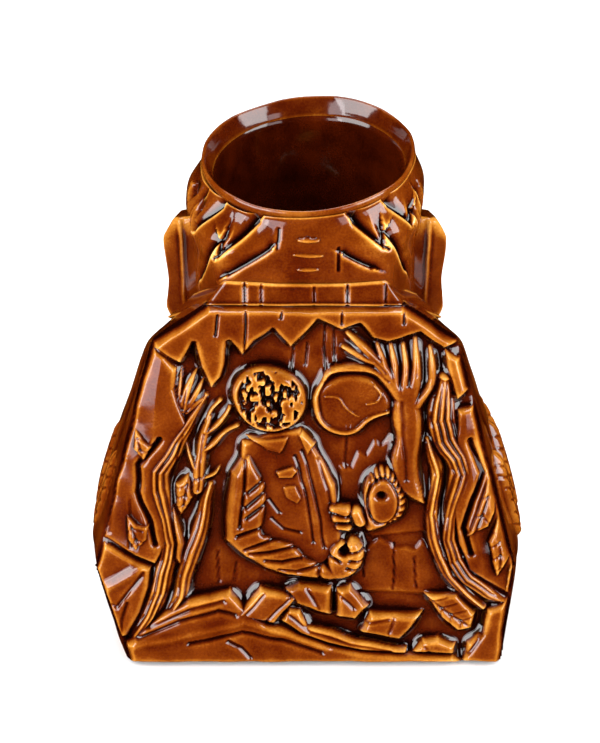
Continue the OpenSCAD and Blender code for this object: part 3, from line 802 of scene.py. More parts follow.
def background():
    """The sunk ground of the scene: a planked wall with cracks and two ragged banks."""
    field = S.top * 0.8 + S.grain * 0.05
    bank = area(S, [(29, 85), (26, 81), (24, 83.5), (21, 77.5), (18.5, 79.5), (16, 73), (12, 74), (12, 58),
                    (24, 48), (42, 50), (42, 84)])
    shelf = area(S, [(26, 47.5), (32, 43.5), (35, 44), (38, 43), (40.5, 46.5), (46, 40), (54, 26), (12, 28),
                     (17, 40)])
    field = field + 0.8 * step(bank, -0.7, 0.7) + 0.9 * step(shelf, -0.8, 0.8)
    return cuts(S, field, 0.42, 0.8, [(7, 126), (6.5, 107)], [(10, 125), (10, 111)],
                [(-38, 44), (-38.5, 31)], [(-30.5, 42), (-30, 30)], [(-24, 38), (-24.5, 31)],
                [(21, 50), (20.5, 33)], [(14.5, 90), (14, 73)], [(-4, 118), (-4.5, 107)],
                [(31, 45), (30.5, 28)], [(38, 40), (38.5, 29)], [(0.5, 118), (0, 110)])


for draw in RELIEF:
    heights[draw.__name__] = np.minimum(draw(), SHOULDER)
floor_field = background()
tallest = np.max([floor_field] + list(heights.values()), axis=0)
tallest = np.maximum(tallest, -0.5)
relief_tone = field_tone(relief, tallest)
fillet = blur(np.clip(tallest - floor_field, 0, 3.2), 1.15 / relief.pitch)
floor_field = floor_field + np.clip(fillet, 0, 2.9)
for draw, slot in RELIEF.items():
    sprig(draw.__name__, relief, heights[draw.__name__], relief_tone)

# ---------------------------------------------------------------- the cloak


def cloak_axis(z):
    """The middle line that the cloak's walls are measured from, leaning with the back panel."""
    zero = 0 * z
    return np.stack([zero, 2 - 18 * z / PANEL_TOP, z], -1)


def well_radius(z):
    f = np.clip((z - WELL_FOOT) / (THROAT - WELL_FOOT), 0, 1)
    return WELL_FOOT_R + f * (MOUTH_R - WELL_FOOT_R)


def cloak_wall(theta, z, inset=0.0, softness=0.9):
    axis = cloak_axis(z)
    direction = np.stack([np.cos(theta), np.sin(theta), 0 * theta], -1)
    return axis, direction, reach(CLOAK, axis, direction, softness, inset)


def ring_angles(wall, z, back_pitch, side_pitch, back_y):
    """Angles that space the columns evenly along the outline, closer together on the back panel."""
    dense = np.linspace(-math.pi / 2, 1.5 * math.pi, 6001)
    axis, direction, radius = wall(dense, np.full_like(dense, z))
    points = axis + direction * radius[:, None]
    gaps = np.linalg.norm(np.diff(points, axis=0), axis=1)
    weight = gaps / np.where(points[1:, 1] < back_y, back_pitch, side_pitch)
    travel = np.concatenate([[0], np.cumsum(weight)])
    count = int(travel[-1])
    return np.interp(np.arange(count) * travel[-1] / count, travel, dense)


def top_height(angles, wall_at, margin, low, high):
    """Height at which a wall meets the well of the head, with a margin past it."""
    heights_tried = np.linspace(low, high, 120)
    theta, z = np.meshgrid(angles, heights_tried, indexing="ij")
    axis, direction, radius = wall_at(theta, z)
    points = axis + direction * radius[..., None]
    off = np.hypot(points[..., 0] - MOUTH[0], points[..., 1] - MOUTH[1]) - well_radius(z) - margin
    hit = off < 0
    first = np.where(hit.any(axis=1), hit.argmax(axis=1), len(heights_tried) - 1)
    tops = heights_tried[first]
    wide = np.concatenate([tops[-9:], tops, tops[:9]])
    return np.convolve(wide, np.ones(5) / 5, mode="same")[9:-9]


def side_carving(points, up):
    """Folds and tool marks on the cloak's sides and chest."""
    side = step(np.abs(points[:, 0]), 44, 58) * step(points[:, 1], -30, -20)
    front = step(points[:, 1], 22, 36)
    fold = np.sin(points[:, 1] * 0.32 + points[:, 2] * 0.055 + 0.8 * noise(points, 30))
    drape = np.sin(points[:, 0] * 0.23 + 0.6 * noise(points, 24, 4))
    marks = noise(points, 11, 2.0)
    fade = step(points[:, 2], 2, 14)
    return fade * (side * 0.55 * fold + front * 0.45 * drape) + 0.25 * marks


def cloak_shell():
    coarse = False
    angles = ring_angles(cloak_wall, 60.0, 1.1 if coarse else 0.66, 2.2 if coarse else 1.7, -24)
    tops = top_height(angles, cloak_wall, 2.6, 60, PANEL_TOP - 2.2)
    inner_tops = top_height(angles, lambda t, z: cloak_wall(t, z, WALL), -0.4, 60, PANEL_TOP - 8)
    rows = 110 if coarse else 190
    share = np.concatenate([np.linspace(0, 0.02, 6)[:-1], np.linspace(0.02, 1, rows)])
    theta = np.broadcast_to(angles, (len(share), len(angles)))
    z = share[:, None] * tops[None, :]
    axis, direction, radius = cloak_wall(theta, z)
    foot = np.clip(1 - z / 1.6, 0, 1)
    radius = radius - 1.6 * (1 - np.sqrt(1 - foot ** 2))
    outer = (axis + direction * radius[..., None]).reshape(-1, 3)
    along_x = outer[:, 0]
    along_t = (outer - PANEL_FOOT) @ PANEL_UP
    off_panel = np.abs(outer @ PANEL_N - PANEL[3])
    on_panel = step(-off_panel, -2.5, -0.8) * step(-outer[:, 1], 12, 20)
    shift = relief.sample(floor_field, along_x, along_t) * on_panel
    outer = outer + PANEL_N * shift[:, None]
    swing = direction.reshape(-1, 3)
    outer = outer + swing * (side_carving(outer, along_t) * (1 - on_panel))[:, None]
    inner_share = np.linspace(1, 0, 34)
    z_in = BASE_T - 1.5 + inner_share[:, None] * (inner_tops[None, :] - BASE_T + 1.5)
    axis, direction, radius = cloak_wall(np.broadcast_to(angles, z_in.shape), z_in, WALL, 2.5)
    inner = (axis + direction * radius[..., None]).reshape(-1, 3)
    last = np.stack([inner[-len(angles):, 0], inner[-len(angles):, 1], np.full(len(angles), 0.3)], 1)
    points = np.concatenate([outer, inner, last])
    rows_all = len(share) + len(inner_share) + 1
    quads = loft_quads(rows_all, len(angles), True)
    tone = edge_tone(points, quads, 0.47)
    painted = relief.sample(relief_tone, along_x, along_t)
    tone[:len(outer)] = tone[:len(outer)] * (1 - on_panel) + painted * on_panel
    tone[len(outer):] = 0.30
    piece = make_piece("cloak_shell", points, quads, tone, ["cloak_shell"], "glaze")
    return angles, piece


cloak_angles, cloak = cloak_shell()


def base_plate():
    """The bottom: bare clay below with a shallow recess, glazed on the inside."""
    angles = cloak_angles[::3]

    def rings(level, profile):
        axis, direction, radius = cloak_wall(angles, np.full_like(angles, level), WALL - 1.0, 2.0)
        return [axis * (1, 1, 0) + direction * np.maximum(radius - inset, 1.0)[:, None] + (0, 0, z)
                for inset, z in profile]

    under = rings(0.0, [(0.5, 0.9), (3.0, 0.9), (9.0, 0.9), (10.0, 0.3), (12.0, 0.05), (14.5, 0.9), (30, 1.0),
                        (44, 1.0)])
    over = rings(BASE_T, [(44, BASE_T), (25, BASE_T), (8, BASE_T), (3.5, BASE_T + 0.6), (1.2, BASE_T + 2.4),
                          (0.5, BASE_T + 2.6), (0.5, 3.0)])
    points = np.array(under + over).reshape(-1, 3)
    quads = loft_quads(len(under) + len(over), len(angles), True)
    tone = np.full(len(points), 0.32)
    piece = make_piece("base_plate", points, quads, tone, ["base_plate"], "bisque")
    piece.data.materials.append(MATERIALS["glaze"])
    centres = np.array([p.center.z for p in piece.data.polygons])
    piece.data.polygons.foreach_set("material_index", (centres > (BASE_T - 0.2) * MM).astype(np.int32))
    return piece


base_plate()

# ---------------------------------------------------------------- the head


def rim_frame(x, y, h):
    """A place given in the tilted frame of the rim."""
    cp, sp, cr, sr = math.cos(RIM_PITCH), math.sin(RIM_PITCH), math.cos(RIM_ROLL), math.sin(RIM_ROLL)
    roll_x, roll_h = x * cr - h * sr, x * sr + h * cr
    return np.stack([MOUTH[0] + roll_x, MOUTH[1] + y * cp - roll_h * sp, MOUTH[2] + y * sp + roll_h * cp], -1)


def rim_height(x, y, drop):
    """Height of the rim's plane, lowered by drop, over a place in plan."""
    return (MOUTH[2] + (y - MOUTH[1]) * math.tan(RIM_PITCH) + (x - MOUTH[0]) * math.tan(RIM_ROLL)
            - drop / math.cos(RIM_PITCH))


def rim_outline(angles):
    """Outer radius of the lip: round at the nape and gently faceted towards the brow."""
    facet = math.radians(30)
    off_facet = np.mod(angles + facet / 2, facet) - facet / 2
    brow = step(np.sin(angles), -0.5, 0.5)
    nape_flat = step(-np.sin(angles), 0.5, 1.0)
    return RIM_R + brow * 0.2 * (FACET_R / np.cos(off_facet) - RIM_R) - 0.8 * nape_flat


def head_wall(theta, z, inset=0.0, softness=1.1):
    axis = np.stack([MOUTH[0] + 0 * z, MOUTH[1] + 0 * z, z], -1)
    direction = np.stack([np.cos(theta), np.sin(theta), 0 * theta], -1)
    return axis, direction, reach(HEAD, axis, direction, softness, inset)


def nape_surface(u, v):
    """The back of the head laid flat: u runs round it from the nape, v is the height."""
    theta = -math.pi / 2 + u / 40.0
    axis, direction, radius = head_wall(theta, v)
    return axis + direction * radius[..., None], direction


nape = Sheet((-72, 72), (96, 172), pitch(0.45, 0.9), nape_surface, 0.3)


def chisel(sheet, field, path, depth, fade):
    """A cut that is steep on the far side of its line and runs out slowly towards the nape."""
    best, side = np.full(sheet.X.shape, 99.0), 0 * sheet.X
    for a, b in zip(path[:-1], path[1:]):
        gap = nearest(sheet, a, b)[1]
        turn = (b[0] - a[0]) * (sheet.T - a[1]) - (b[1] - a[1]) * (sheet.X - a[0])
        side = np.where(gap < best, turn * (1 if a[0] > 0 else -1), side)
        best = np.minimum(best, gap)
    return field - depth * np.exp(-(best / np.where(side > 0, fade, 0.55)) ** 1.5)


def hair_cuts():
    """Zigzag cuts that carve the hair into sharp locks, and short slashes beside the nape."""
    field = 0 * nape.X
    for path in ([(-19.5, 157), (-29.5, 145), (-30, 150), (-43, 131)],
                 [(-36.5, 158.5), (-44.5, 148.5), (-50, 146)],
                 [(17, 157.5), (25, 149.5), (26.5, 153.5), (38, 136)],
                 [(32.5, 160), (40.5, 152), (43, 155), (48.5, 148)],
                 [(-48, 156), (-54, 140), (-53, 134)], [(50, 157), (56, 141), (54, 135)]):
        field = chisel(nape, field, path, 2.6, 3.2)
    for path in ([(-13.5, 149.5), (-25.5, 139.5)], [(12.5, 147.5), (21, 142.5)]):
        field = chisel(nape, field, path, 1.5, 2.4)
    for x, low, high in ((-11, 150, 156), (10.5, 142, 150)):
        field = cut(nape, field, [(x, low), (x, high)], 0.5, 0.5)
    return field


nape_cuts = hair_cuts()
nape_tone = field_tone(nape, nape_cuts * 1.3, 0.46)


def front_surface(planes, softness):
    """Places on the front (+Y) of a convex body, over x and z."""
    def surface(u, v):
        origin = np.stack([u, 0 * u, v], -1)
        ahead = np.broadcast_to((0.0, 1.0, 0.0), origin.shape)
        y = reach(planes, origin, ahead, softness)
        return origin + ahead * y[..., None], ahead
    return surface


face = Sheet((-36, 36), (74, 160), pitch(0.5, 0.9), front_surface(HEAD, 2.0), 0.0)
F = face


def dome(depth, height, edge):
    """Height of a softly rounded form."""
    f = np.clip(depth / edge, 0, 1)
    return np.where(depth > 0, height * np.sqrt(np.maximum(1 - (1 - f) ** 2, 0)), depth * 5)


def swell(depth, height, edge):
    """Height of a form that rises from its surface without an edge."""
    rise = height * step(depth, 0, edge) + 0.3 * np.clip(depth, 0, 1)
    return np.where(depth > 0, rise, depth * 5) - 0.3


def mirrored(outline):
    return [(-x, y) for x, y in outline]


def both(shape):
    return np.maximum(area(F, shape), area(F, mirrored(shape)))


def face_brow():
    arch = [(3, 136), (3, 141), (12, 144), (24, 143.5), (31, 138), (30, 135.5), (22, 139), (11, 138.5)]
    field = dome(both(arch), 3.4, 3.2)
    for k in range(7):
        for side in (-1, 1):
            field = cut(F, field, [(side * (5 + 3.6 * k), 137.5), (side * (7 + 3.6 * k), 144)], 0.45, 0.7)
    return field


def face_nose():
    bridge = [(-3.4, 137), (3.4, 137), (4.2, 120), (5.6, 110), (-5.6, 110), (-4.2, 120)]
    tip = dome(area(F, [(-5, 113), (5, 113), (6.4, 108), (4, 104.6), (-4, 104.6), (-6.4, 108)]), 6.2, 4.6)
    wings = dome(np.maximum(disc(F, -6.2, 108.4, 3.3), disc(F, 6.2, 108.4, 3.3)), 4.0, 3.2)
    field = np.maximum(np.maximum(dome(area(F, bridge), 5.0, 4.2), tip), wings)
    for side in (-1, 1):
        field = field - 1.6 * np.exp(-(((F.X - side * 3.4) / 1.5) ** 2 + ((F.T - 105.6) / 1.0) ** 2))
    return field


def face_eyes():
    lid = [(9, 126.4), (12, 129.8), (16.5, 131), (21, 129.6), (24.5, 126), (20.5, 123.4), (15.5, 122.8),
           (11.5, 124)]
    slit = [(9, 126), (13, 124.9), (17, 124.6), (21, 125), (24.5, 126)]
    field = dome(both(lid), 3.4, 3.6)
    for side in (-1, 1):
        field = cut(F, field, [(side * x, y) for x, y in slit], 0.5, 1.5)
        field = cut(F, field, [(side * 11, 129.4), (side * 16.5, 130.2), (side * 22, 128.6)], 0.5, 0.6)
    return field


def face_cheeks():
    cheek = [(10, 118), (17, 121), (27, 120), (32, 113), (28, 103), (19, 98), (13, 103), (10.5, 110)]
    field = swell(both(cheek), 3.0, 9.0)
    for side in (-1, 1):
        field = cut(F, field, [(side * 9.5, 109), (side * 13.5, 102), (side * 14.5, 96)], 0.8, 0.9)
    return field


def face_lips():
    upper = [(-12, 97.4), (-5, 100.6), (0, 99.6), (5, 100.6), (12, 97.4), (4, 96.8), (-4, 96.8)]
    lower = [(-10.5, 96.6), (-4, 96.4), (4, 96.4), (10.5, 96.6), (5, 91.8), (-5, 91.8)]
    return np.maximum(dome(area(F, upper), 3.2, 2.2), dome(area(F, lower), 3.6, 2.8))


def face_chin():
    return swell(area(F, [(-9, 89), (9, 89), (12, 83), (8.6, 77.6), (-8.6, 77.6), (-12, 83)]), 3.2, 6.0)


FACE = [("brow", face_brow, "glaze_honey"), ("nose", face_nose, "glaze_honey"),
        ("eyes", face_eyes, "glaze_umber"), ("cheeks", face_cheeks, "glaze_amber"),
        ("mouth_lips", face_lips, "glaze_honey"), ("chin", face_chin, "glaze_amber")]
face_heights = {name: draw() for name, draw, _ in FACE}
socket = (3.0 * np.exp(-(((np.abs(F.X) - 16.5) / 9.5) ** 2 + ((F.T - 128) / 7.5) ** 2) ** 1.5)
          + 1.0 * np.exp(-((F.X / 16) ** 2 + ((F.T - 96) / 9) ** 2) ** 2))
face_floor = -socket
face_tone = field_tone(face, np.max([face_floor] + list(face_heights.values()), axis=0), 0.47)
for name, draw, slot in FACE:
    sprig(name, face, face_heights[name] - socket * 0.55, face_tone, foot=-4.0)


def head_shell():
    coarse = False
    angles = ring_angles(head_wall, 150.0, 0.9 if coarse else 0.55, 1.2 if coarse else 0.75, 2)
    _, _, radius = head_wall(angles, np.full_like(angles, 150.0))
    plan_x, plan_y = MOUTH[0] + radius * np.cos(angles), MOUTH[1] + radius * np.sin(angles)
    top = rim_height(plan_x, plan_y, 1.7)
    frontness = step(np.sin(angles), -0.2, 0.75)
    bottom = 112 - frontness * 34
    rows = 80 if coarse else 140
    share = np.linspace(0, 1, rows)[:, None]
    z = bottom + share * (top - bottom)
    theta = np.broadcast_to(angles, z.shape)
    axis, direction, radius = head_wall(theta, z)
    radius = np.maximum(radius, well_radius(z) + 2.6)
    neck = step(z, top - 12, top - 0.5)
    temple = step(np.abs(np.cos(theta)), 0.45, 0.95) * np.exp(-((z - top + 13) / 8) ** 2)
    radius = radius * (1 - neck) + rim_outline(theta) * neck + 2.6 * temple
    around = np.arctan2(np.cos(theta), -np.sin(theta)) * 40.0
    carved = nape.sample(nape_cuts, around, z)
    carved = carved * step(-np.abs(around), -70, -64)
    outer = axis + direction * radius[..., None]
    brow_side = step(outer[..., 1], 30, 40) * step(-np.abs(outer[..., 0]), -33, -28)
    pressed = face.sample(face_floor, outer[..., 0], outer[..., 2]) * brow_side
    marks = 0.28 * noise(outer, 9, 6.0)
    outer = outer + direction * (carved + marks)[..., None] + pressed[..., None] * (0, 1, 0)
    inner_share = np.linspace(1, 0, 50)[:, None]
    low = bottom - 6 + frontness * 9
    inner_top = rim_height(MOUTH[0] + 33 * np.cos(angles), MOUTH[1] + 33 * np.sin(angles), 6.6)
    z_in = low + inner_share * (inner_top - low)
    r_in = well_radius(z_in) + 0.25 * noise(np.stack([theta[:1] * 20 + 0 * z_in, z_in, 0 * z_in], -1), 12)
    theta_in = np.broadcast_to(angles, z_in.shape)
    inner = np.stack([MOUTH[0] + r_in * np.cos(theta_in), MOUTH[1] + r_in * np.sin(theta_in), z_in], -1)
    points = np.concatenate([outer.reshape(-1, 3), inner.reshape(-1, 3)])
    quads = loft_quads(rows + len(inner_share), len(angles), True)
    tone = edge_tone(points, quads, 0.47)
    count = outer.size // 3
    glow = 0.34 + 0.05 * noise(inner.reshape(-1, 3), 25)
    tone[count:] = glow
    on_face = (step(outer[..., 1], 34, 42) * step(-np.abs(outer[..., 0]), -32, -28)).ravel()
    painted = face.sample(face_tone, outer[..., 0], outer[..., 2]).ravel()
    tone[:count] = tone[:count] * (1 - on_face) + painted * on_face
    on_nape = step(-np.abs(around), -70, -60).ravel() * (1 - on_face)
    cut_tone = nape.sample(nape_tone, around, z).ravel() - 0.46
    tone[:count] = tone[:count] + 1.1 * cut_tone * on_nape
    return make_piece("head_shell", points, quads, tone, ["head_shell"], "glaze")


head_shell()


# Profile of the lip as [outwards, upwards]: its foot from the mouth's radius, its crest from its own edge.
LIP_FOOT = [(2.2, -7.4), (1.0, -7.2), (0.2, -6.8), (-0.1, -6.2), (0.05, -5.5), (0.3, -4.9)]
LIP_CREST = [(-0.95, -0.08), (-0.65, 0.0), (-0.35, -0.1), (-0.1, -0.4), (0.03, -0.9), (0.04, -1.6),
             (-0.15, -2.6), (-0.6, -3.8), (-1.1, -5.0), (-1.5, -6.4), (-1.6, -7.8)]


def rim_lip():
    """The rolled lip: a fine crest and a deep chamfer down into the mouth."""
    angles = np.linspace(0, 2 * math.pi, 400, endpoint=False)
    outer = rim_outline(angles)
    circle = np.stack([np.cos(angles) * 30, np.sin(angles) * 30, 0 * angles], -1)
    wobble = 0.6 * noise(circle, 14, 3)
    crest = outer - 1.2
    rows = []
    for add, h in LIP_FOOT:
        r = MOUTH_R + add
        rows.append(np.stack([r * np.cos(angles), r * np.sin(angles), 0 * angles + h], -1))
    for f in np.linspace(0.1, 1, 10):
        r = MOUTH_R + 0.4 + (crest - MOUTH_R - 0.4) * f ** 1.15
        h = -4.6 + 4.3 * f + wobble * f
        rows.append(np.stack([r * np.cos(angles), r * np.sin(angles), h], -1))
    for add, h in LIP_CREST:
        r = outer + add
        rows.append(np.stack([r * np.cos(angles), r * np.sin(angles), h + wobble], -1))
    grid = np.array(rows)
    points = rim_frame(grid[..., 0], grid[..., 1], grid[..., 2]).reshape(-1, 3)
    quads = loft_quads(len(rows), len(angles), True)
    tone = edge_tone(points, quads, 0.42, 0.2)
    return make_piece("rim_lip", points, quads, tone, ["rim_lip"], "glaze")


rim_lip()

# ---------------------------------------------------------------- collar, ears and hair


# The collar's corners: share of its length, a point on its lower edge and one on its upper edge.
COLLAR = [(0, (-42, 8, 106), (-34, 8, 114)), (0.05, (-48, -3, 112.5), (-38.5, -4, 122)),
          (0.3, (-33.5, -28.6, 129.6), (-27, -25.8, 137.6)), (0.4, (-17, -28.9, 129.8), (-15, -27.2, 137.2)),
          (0.5, (0, -28.9, 130), (0, -27.6, 137)), (0.6, (17, -28.9, 129.8), (15, -27.2, 137.2)),
          (0.7, (33.5, -28.6, 129.6), (27, -25.8, 137.6)), (0.95, (48, -3, 112.5), (38.5, -4, 122)),
          (1, (42, 8, 106), (34, 8, 114))]


def collar_band():
    """The wide facet between the nape and the top of the back panel, running down to the ears."""
    knots = [share for share, _, _ in COLLAR]
    lower, upper = (np.array([row[k] for row in COLLAR], float) for k in (1, 2))
    u = np.linspace(0, 1, 300)
    low = np.stack([np.interp(u, knots, lower[:, k]) for k in range(3)], 1)
    high = np.stack([np.interp(u, knots, upper[:, k]) for k in range(3)], 1)
    kernel = np.ones(7) / 7
    for line in (low, high):
        for k in range(3):
            line[3:-3, k] = np.convolve(line[:, k], kernel, mode="valid")
    inward = np.array([0, 9, -1.0]) - np.stack([low[:, 0] * 0.16, 0 * u, 0 * u], 1)
    rows = [low + inward * 0.7 + (0, 0, -1.4), low + inward * 0.1 + (0, 0, -0.5)]
    for f in np.linspace(0, 1, 16):
        out = math.sin(math.pi * f) * 0.5
        lip = 0.9 * math.exp(-(f / 0.10) ** 2) + 0.5 * math.exp(-((f - 1) / 0.1) ** 2)
        rows.append(low * (1 - f) + high * f + np.array([0, -0.7, 0.6]) * (lip - out * 0.6))
    rows.append(high + inward * 0.35 + (0, 0, -0.3))
    rows.append(high + inward * 0.9 + (0, 0, -3))
    grid = np.array(rows)
    for x, depth in ((-20.3, 1.0), (-14.8, 0.5), (14.2, 0.9), (3, 0.35), (27, 0.4)):
        near = np.exp(-((grid[..., 0] - x) / 0.5) ** 2) * depth
        grid[..., 1] += near
    grid += 0.15 * noise(grid, 8, 4)[..., None]
    points = grid.reshape(-1, 3)
    count = len(u)
    quads = loft_quads(len(rows), count, True, False)
    first = np.arange(len(rows)) * count
    ends, centre = [], []
    for k, ring in enumerate((first, first + count - 1)):
        centre.append(points[ring].mean(axis=0))
        hub = len(points) + k
        ends += [(ring[i], ring[(i + 1) % len(ring)], hub) if k else (ring[(i + 1) % len(ring)], ring[i], hub)
                 for i in range(len(ring))]
    points = np.concatenate([points, centre])
    tone = edge_tone(points, quads, 0.47, 0.12)
    return make_piece("collar_band", points, quads, tone, ["collar_band"], "glaze", ends)


collar_band()


def convex_blob(planes, centre, rounding):
    """A rounded solid behind planes, as a grid of rings between two poles."""
    polar = np.linspace(0, math.pi, 74)[1:-1]
    around = np.linspace(0, 2 * math.pi, 110, endpoint=False)
    p, a = np.meshgrid(polar, around, indexing="ij")
    direction = np.stack([np.sin(p) * np.cos(a), np.sin(p) * np.sin(a), np.cos(p)], -1)
    radius = reach(planes, np.broadcast_to(centre, direction.shape), direction, rounding)
    return centre + direction * radius[..., None]


def close_poles(grid):
    """Points and faces of a ring grid with a hub at each end."""
    rings, turns = grid.shape[:2]
    points = np.concatenate([grid.reshape(-1, 3), [grid[0].mean(axis=0)], [grid[-1].mean(axis=0)]])
    quads = loft_quads(rings, turns, False)
    hub = rings * turns
    fans = [(i, hub, (i + 1) % turns) for i in range(turns)]
    start = (rings - 1) * turns
    fans += [(start + i, start + (i + 1) % turns, hub + 1) for i in range(turns)]
    return points, quads, fans


def ear(name, side):
    """A long slab ear with a chamfered face and a scooped hollow."""
    planes = outer_planes(name, lambda n: n[0] * side > -0.15)
    planes = np.concatenate([planes, [[-side, 0, 0, -33.5]], [[0, 0, -1, -102.5]]])
    centre = np.array([side * 42.5, 9, 125.0])
    grid = convex_blob(planes, centre, 0.55)
    shade = grid.reshape(-1, 3)
    y, z = shade[:, 1], shade[:, 2]
    facing = step(shade[:, 0] * side, 44, 46.5)
    hollow = np.exp(-(((y - 8.5) / 3.6) ** 2 + ((z - 126) / 13) ** 2) ** 2)
    back = step(-y, -4, 0)
    ridge = np.exp(-((shade[:, 0] * side - 42.3 - 0.02 * (z - 125)) / 0.8) ** 2) * back
    shade = shade - np.outer(hollow * facing * 2.2, (side, 0, 0)) - np.outer(ridge * 0.9, (0, 1, 0))
    shade = shade + 0.2 * noise(shade, 7, 1.0)[:, None]
    points, quads, fans = close_poles(shade.reshape(grid.shape))
    tone = edge_tone(points, quads, 0.47, 0.10)
    return make_piece(name, points, quads, tone, [name], "glaze", fans)


ear("ear_left", -1)
ear("ear_right", 1)


def hair(name, side):
    """Sharp locks that stand out from the side of the head."""
    locks = [(49, 155, 16), (57, 160, 19), (66, 156, 17)]
    field = empty(nape)
    for place, height, length in locks:
        lock = [(side * (place + 3), height - length, 0.4), (side * (place + 1), height - 0.55 * length, 3.4),
                (side * (place - 1), height - 0.2 * length, 3.2), (side * (place - 3.5), height + 3.0, 0.4)]
        depth = stroke(nape, lock)
        blade = slab(depth, 3.6, 3.4) - 0.10 * (height + 1 - nape.T).clip(0, 18) * (depth > 0)
        field = np.maximum(field, cut(nape, blade, [point[:2] for point in lock], 0.5, 0.8))
    roof = rim_height(nape.base[..., 0], nape.base[..., 1], 4.0)
    field = np.where(nape.V < roof, field, -9.0)
    tone = field_tone(nape, np.maximum(field, 0), 0.5)
    return sprig(name, nape, field, tone)


hair("hair_left", -1)
hair("hair_right", 1)


def nape_ridge():
    """Three short level bars, one above another."""
    field = empty(nape)
    for height, half in ((142, 3.5), (147.5, 5), (153, 3.5)):
        bar = stroke(nape, [(-half, height, 0.5), (0, height, 1.2), (half, height, 0.5)])
        field = np.maximum(field, slab(bar, 1.2, 1.0))
    tone = field_tone(nape, np.maximum(field, -0.2), 0.50)
    return sprig("nape_ridge", nape, field, tone)


nape_ridge()

# ---------------------------------------------------------------- chest and sides

chest = Sheet((-46, 46), (34, 92), pitch(0.5, 0.9), front_surface(CLOAK, 2.0), 0.2)


def chest_leaves():
    field = empty(chest)
    for k in range(-2, 3):
        a = math.radians(-k * 9)
        foot = (k * 15.0, 63 - abs(k) * 2.0)
        tip = (foot[0] - 25 * math.sin(a), foot[1] - 25 * math.cos(a))
        leaf = blade(chest, foot, tip, 6.3, 13, 3.2, 1.8, (0.6, 1.0), np.linspace(0.2, 0.8, 5), (5, -3.5),
                     (0.4, 0.5))
        field = np.maximum(field, leaf)
    return field


def chest_beads():
    field = empty(chest)
    for k in range(-4, 5):
        spot = (k * 8.6, 65 + k * k * 1.05)
        field = np.maximum(field, dome(disc(chest, spot[0], spot[1], 4.3), 4.0, 4.3))
        field = np.where(disc(chest, spot[0], spot[1], 1.0) > 0, field - 0.8, field)
    return np.minimum(field, 4.0)


chest_heights = {"chest_leaves": chest_leaves(), "necklace": chest_beads()}
chest_tone = field_tone(chest, np.max([0 * chest.X] + list(chest_heights.values()), axis=0), 0.48)
sprig("chest_leaves", chest, chest_heights["chest_leaves"], chest_tone, foot=-2.0)
sprig("necklace", chest, chest_heights["necklace"], chest_tone, foot=-2.0)


def side_leaves(name, side, height):
    """Three broad veined leaves on one side of the cloak."""
    def surface(u, v):
        origin = np.stack([0 * u, u, v], -1)
        out = np.broadcast_to((float(side), 0.0, 0.0), origin.shape)
        x = reach(CLOAK, origin, out, 2.0)
        return origin + out * x[..., None], out
    flank = Sheet((-36, 36), (20, 82), pitch(0.5, 0.9), surface, 0.3)
    field = empty(flank)
    for k in (-1, 0, 1):
        a = math.radians(k * 11)
        foot = (1 + k * 17, 29.0 + abs(k) * 2)
        tip = (foot[0] + 42 * math.sin(a), foot[1] + 42 * math.cos(a))
        leaf = blade(flank, foot, tip, 7.6, 15, height, 2.4, (0.7, 1.2), np.linspace(0.14, 0.8, 6), (6.5, 5),
                     (0.45, 0.6))
        field = np.maximum(field, leaf)
    tone = field_tone(flank, np.maximum(field, 0), 0.48)
    return sprig(name, flank, field, tone, foot=-2.0)


side_leaves("side_leaves_left", -1, 2.2)
side_leaves("side_leaves_right", 1, 4.2)

# ---------------------------------------------------------------- stage, lights and camera


def plain_material(name, colour, roughness):
    material = bpy.data.materials.new(name)
    material.use_nodes = True
    shader = material.node_tree.nodes["Principled BSDF"]
    shader.inputs["Base Color"].default_value = colour + (1,)
    shader.inputs["Roughness"].default_value = roughness
    shader.inputs["Specular IOR Level"].default_value = 0.2
    return material


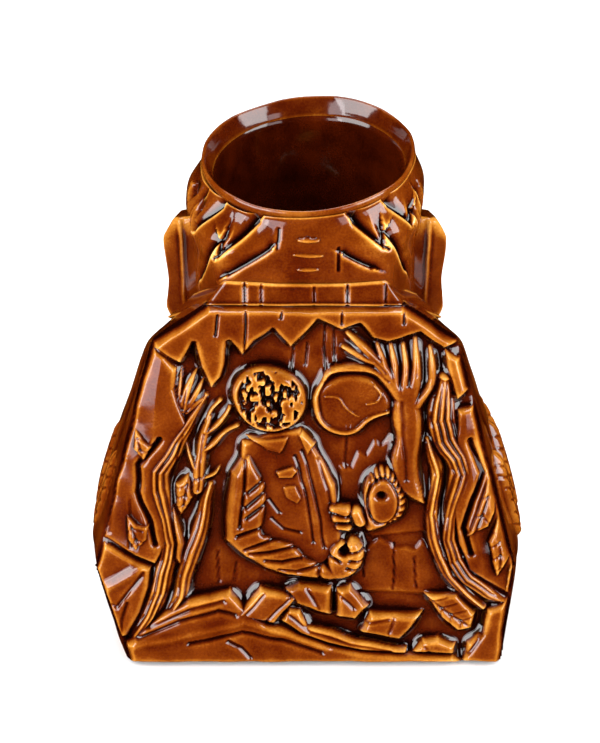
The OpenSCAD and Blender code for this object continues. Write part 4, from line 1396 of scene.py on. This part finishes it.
def stage():
    """A wide pale table that the glaze doesn't mirror, so that the brown stays deep."""
    turns = np.linspace(0, 2 * math.pi, 96, endpoint=False)
    points = [(3 * math.cos(a), 3 * math.sin(a), 0.0) for a in turns]
    mesh = bpy.data.meshes.new("table")
    mesh.from_pydata(points, [], [tuple(range(len(points)))])
    table = bpy.data.objects.new("table", mesh)
    mesh.materials.append(plain_material("paper", (0.94, 0.94, 0.94), 0.8))
    bpy.context.scene.collection.objects.link(table)
    table.visible_glossy = False


def area_light(name, place, target, size, watts, colour=(1, 1, 1)):
    light = bpy.data.lights.new(name, "AREA")
    light.shape = "RECTANGLE"
    light.size, light.size_y = size
    light.energy = watts
    light.color = colour
    lamp = bpy.data.objects.new(name, light)
    bpy.context.scene.collection.objects.link(lamp)
    lamp.location = place
    aim = np.array(target) - np.array(place)
    lamp.rotation_mode = "QUATERNION"
    lamp.rotation_quaternion = Vector(aim).to_track_quat("-Z", "Y")


def camera():
    """The photograph's viewing angle: from behind the bust and above, with a long lens."""
    elevation, distance, target = math.radians(28), 0.95, np.array([-0.0017, 0.0, 0.0897])
    data = bpy.data.cameras.new("camera")
    data.lens = 131
    eye = bpy.data.objects.new("camera", data)
    bpy.context.scene.collection.objects.link(eye)
    back = np.array([0, -math.cos(elevation), math.sin(elevation)])
    eye.location = target + back * distance
    eye.rotation_euler = (math.pi / 2 - elevation, 0, 0)
    bpy.context.scene.camera = eye


camera()
stage()
area_light("softbox_left", (-0.72, -0.50, 0.36), (0, 0, 0.09), (0.50, 0.84), 10)
area_light("softbox_right", (0.74, -0.44, 0.38), (0, 0, 0.09), (0.46, 0.80), 9)
area_light("card_left", (-0.56, -0.83, 0.17), (0, 0, 0.08), (0.34, 0.50), 2.4, (1, 0.90, 0.93))
area_light("card_right", (0.60, -0.80, 0.17), (0, 0, 0.08), (0.24, 0.50), 1.2, (1, 0.90, 0.93))
area_light("softbox_top", (0.0, 0.25, 0.95), (0, 0, 0.08), (0.8, 0.35), 6)
world = bpy.data.worlds.new("studio")
world.use_nodes = True
world.node_tree.nodes["Background"].inputs["Color"].default_value = (1, 1, 1, 1)
world.node_tree.nodes["Background"].inputs["Strength"].default_value = 1.0
world.cycles_visibility.glossy = False
bpy.context.scene.world = world
bpy.context.scene.view_settings.view_transform = "Standard"
